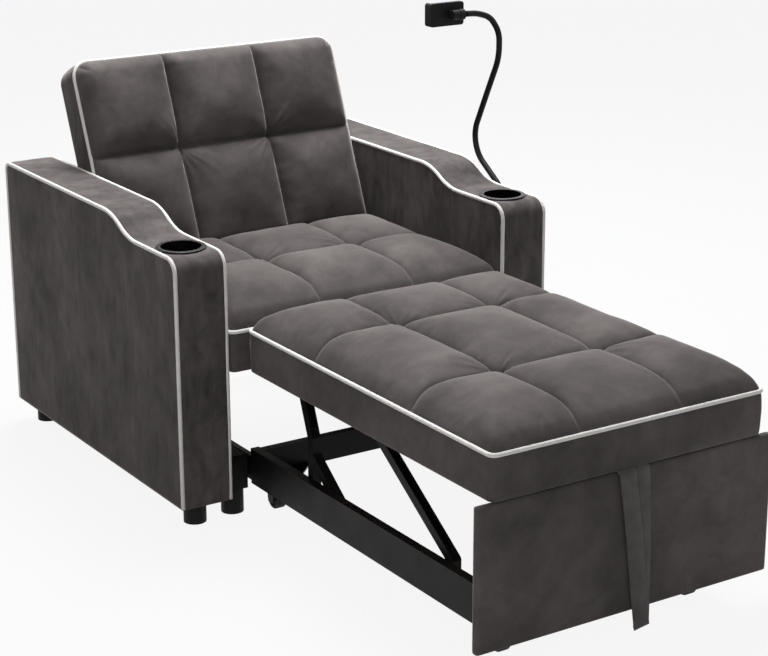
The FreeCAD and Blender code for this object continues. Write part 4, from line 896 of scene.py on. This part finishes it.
def strap_loop():
    """Band folded over the panel's top edge: two strands that end together at the loop's foot."""
    over = STRAP_TOP + STRAP_THICK / 2
    back = []
    for s in np.linspace(0, 1, 8):
        back.append((strap_middle(STRAP_TOP, False), PANEL_FRONT + 11.5 - 10.5 * s, over))
    for z in np.linspace(STRAP_TOP - 2, STRAP_FOOT + 4, 56):
        back.append((strap_middle(z, False), PANEL_FRONT - 2.6 - 0.5 * math.sin(z / 21.0), z))
    front = []
    for s in np.linspace(0, 1, 6):
        front.append((strap_middle(STRAP_TOP, True), PANEL_FRONT + 11.5 - 12.5 * s, over + 1.2))
    for z in np.linspace(STRAP_TOP - 2, STRAP_FOOT + 2, 56):
        bow = 1.6 * math.sin((STRAP_TOP - z) / 60.0)
        front.append((strap_middle(z, True), PANEL_FRONT - 6.8 - bow, z))
    strap_strand("pull_strap_back", back)
    strap_strand("pull_strap_front", front)


strap_loop()


# Studio
WORLD_LIGHT = 0.17
FLOOR_GREY = (0.50, 0.50, 0.50, 1.0)
FLOOR_GLOW = 0.90
WHITE = (1.0, 1.0, 1.0, 1.0)
LAMPS = (("overhead", (0.5, 1.0, 3.2), 1.6, 158.0), ("left_fill", (-2.4, -3.2, 1.9), 1.6, 28.0),
         ("rear_rim", (1.6, 2.8, 2.4), 1.6, 22.0))
LAMP_AIM = (0, -0.1, 0.4)
# The photo's size and the camera that was fitted to it, in pixels, metres and degrees
PHOTO_WIDTH = 768
PHOTO_HEIGHT = 656
FOCAL_LENGTH = 2050.6
PRINCIPAL_POINT = (394.56, 333.82)
SENSOR_WIDTH = 36
CAMERA_PLACE = (-2.075075, -3.238325, 1.5601)
CAMERA_DOWN = 17.687
CAMERA_ROLL = 0.07
CAMERA_TURN = -33.085


def studio():
    """White background and floor for the camera, dim ones for the light, and three lamps."""
    world = bpy.data.worlds.new("studio")
    bpy.context.scene.world = world
    world.use_nodes = True
    tree = world.node_tree
    light = tree.nodes["Background"]
    light.inputs["Color"].default_value = WHITE
    light.inputs["Strength"].default_value = WORLD_LIGHT
    white = add(tree, "ShaderNodeBackground", Color=WHITE, Strength=1.0)
    seen = seen_directly(tree)
    mix = add(tree, "ShaderNodeMixShader")
    tree.links.new(seen, mix.inputs[0])
    tree.links.new(light.outputs[0], mix.inputs[1])
    tree.links.new(white.outputs[0], mix.inputs[2])
    tree.links.new(mix.outputs[0], tree.nodes["World Output"].inputs["Surface"])

    bpy.ops.mesh.primitive_plane_add(size=40.0, location=(0, 0, -0.0005))
    floor = bpy.context.object
    floor.name = "studio_floor"
    material, tree, shader = new_material("pale_floor", roughness=0.9)
    shader.inputs["Base Color"].default_value = FLOOR_GREY
    glow = add(tree, "ShaderNodeEmission", Strength=1.0)
    seen = seen_directly(tree)
    share = add(tree, "ShaderNodeMath", operation="MULTIPLY")
    share.inputs[1].default_value = FLOOR_GLOW
    tree.links.new(seen, share.inputs[0])
    mix = add(tree, "ShaderNodeMixShader")
    tree.links.new(share.outputs[0], mix.inputs[0])
    tree.links.new(shader.outputs[0], mix.inputs[1])
    tree.links.new(glow.outputs[0], mix.inputs[2])
    tree.links.new(mix.outputs[0], tree.nodes["Material Output"].inputs["Surface"])
    floor.data.materials.append(material)

    for name, place, size, power in LAMPS:
        lamp = bpy.data.lights.new(name, "AREA")
        lamp.size = size
        lamp.energy = power
        holder = bpy.data.objects.new(name, lamp)
        bpy.context.scene.collection.objects.link(holder)
        holder.location = place
        aim = Vector(LAMP_AIM) - Vector(place)
        holder.rotation_euler = aim.to_track_quat("-Z", "Y").to_euler()


def seen_directly(tree):
    """1 for rays that the camera, a mirror or glass sends out, and 0 for light."""
    path = add(tree, "ShaderNodeLightPath")
    first = add(tree, "ShaderNodeMath", operation="MAXIMUM")
    tree.links.new(path.outputs["Is Camera Ray"], first.inputs[0])
    tree.links.new(path.outputs["Is Glossy Ray"], first.inputs[1])
    second = add(tree, "ShaderNodeMath", operation="MAXIMUM")
    tree.links.new(first.outputs[0], second.inputs[0])
    tree.links.new(path.outputs["Is Transmission Ray"], second.inputs[1])
    return second.outputs[0]


def camera():
    data = bpy.data.cameras.new("view")
    data.sensor_width = SENSOR_WIDTH
    data.lens = FOCAL_LENGTH / PHOTO_WIDTH * SENSOR_WIDTH
    data.shift_x = (PHOTO_WIDTH / 2 - PRINCIPAL_POINT[0]) / PHOTO_WIDTH
    data.shift_y = (PRINCIPAL_POINT[1] - PHOTO_HEIGHT / 2) / PHOTO_WIDTH
    holder = bpy.data.objects.new("view", data)
    bpy.context.scene.collection.objects.link(holder)
    holder.location = CAMERA_PLACE
    holder.rotation_euler = (math.radians(90 - CAMERA_DOWN), math.radians(CAMERA_ROLL),
                             math.radians(CAMERA_TURN))
    bpy.context.scene.camera = holder


studio()
camera()
bpy.context.scene.view_settings.view_transform = "Standard"
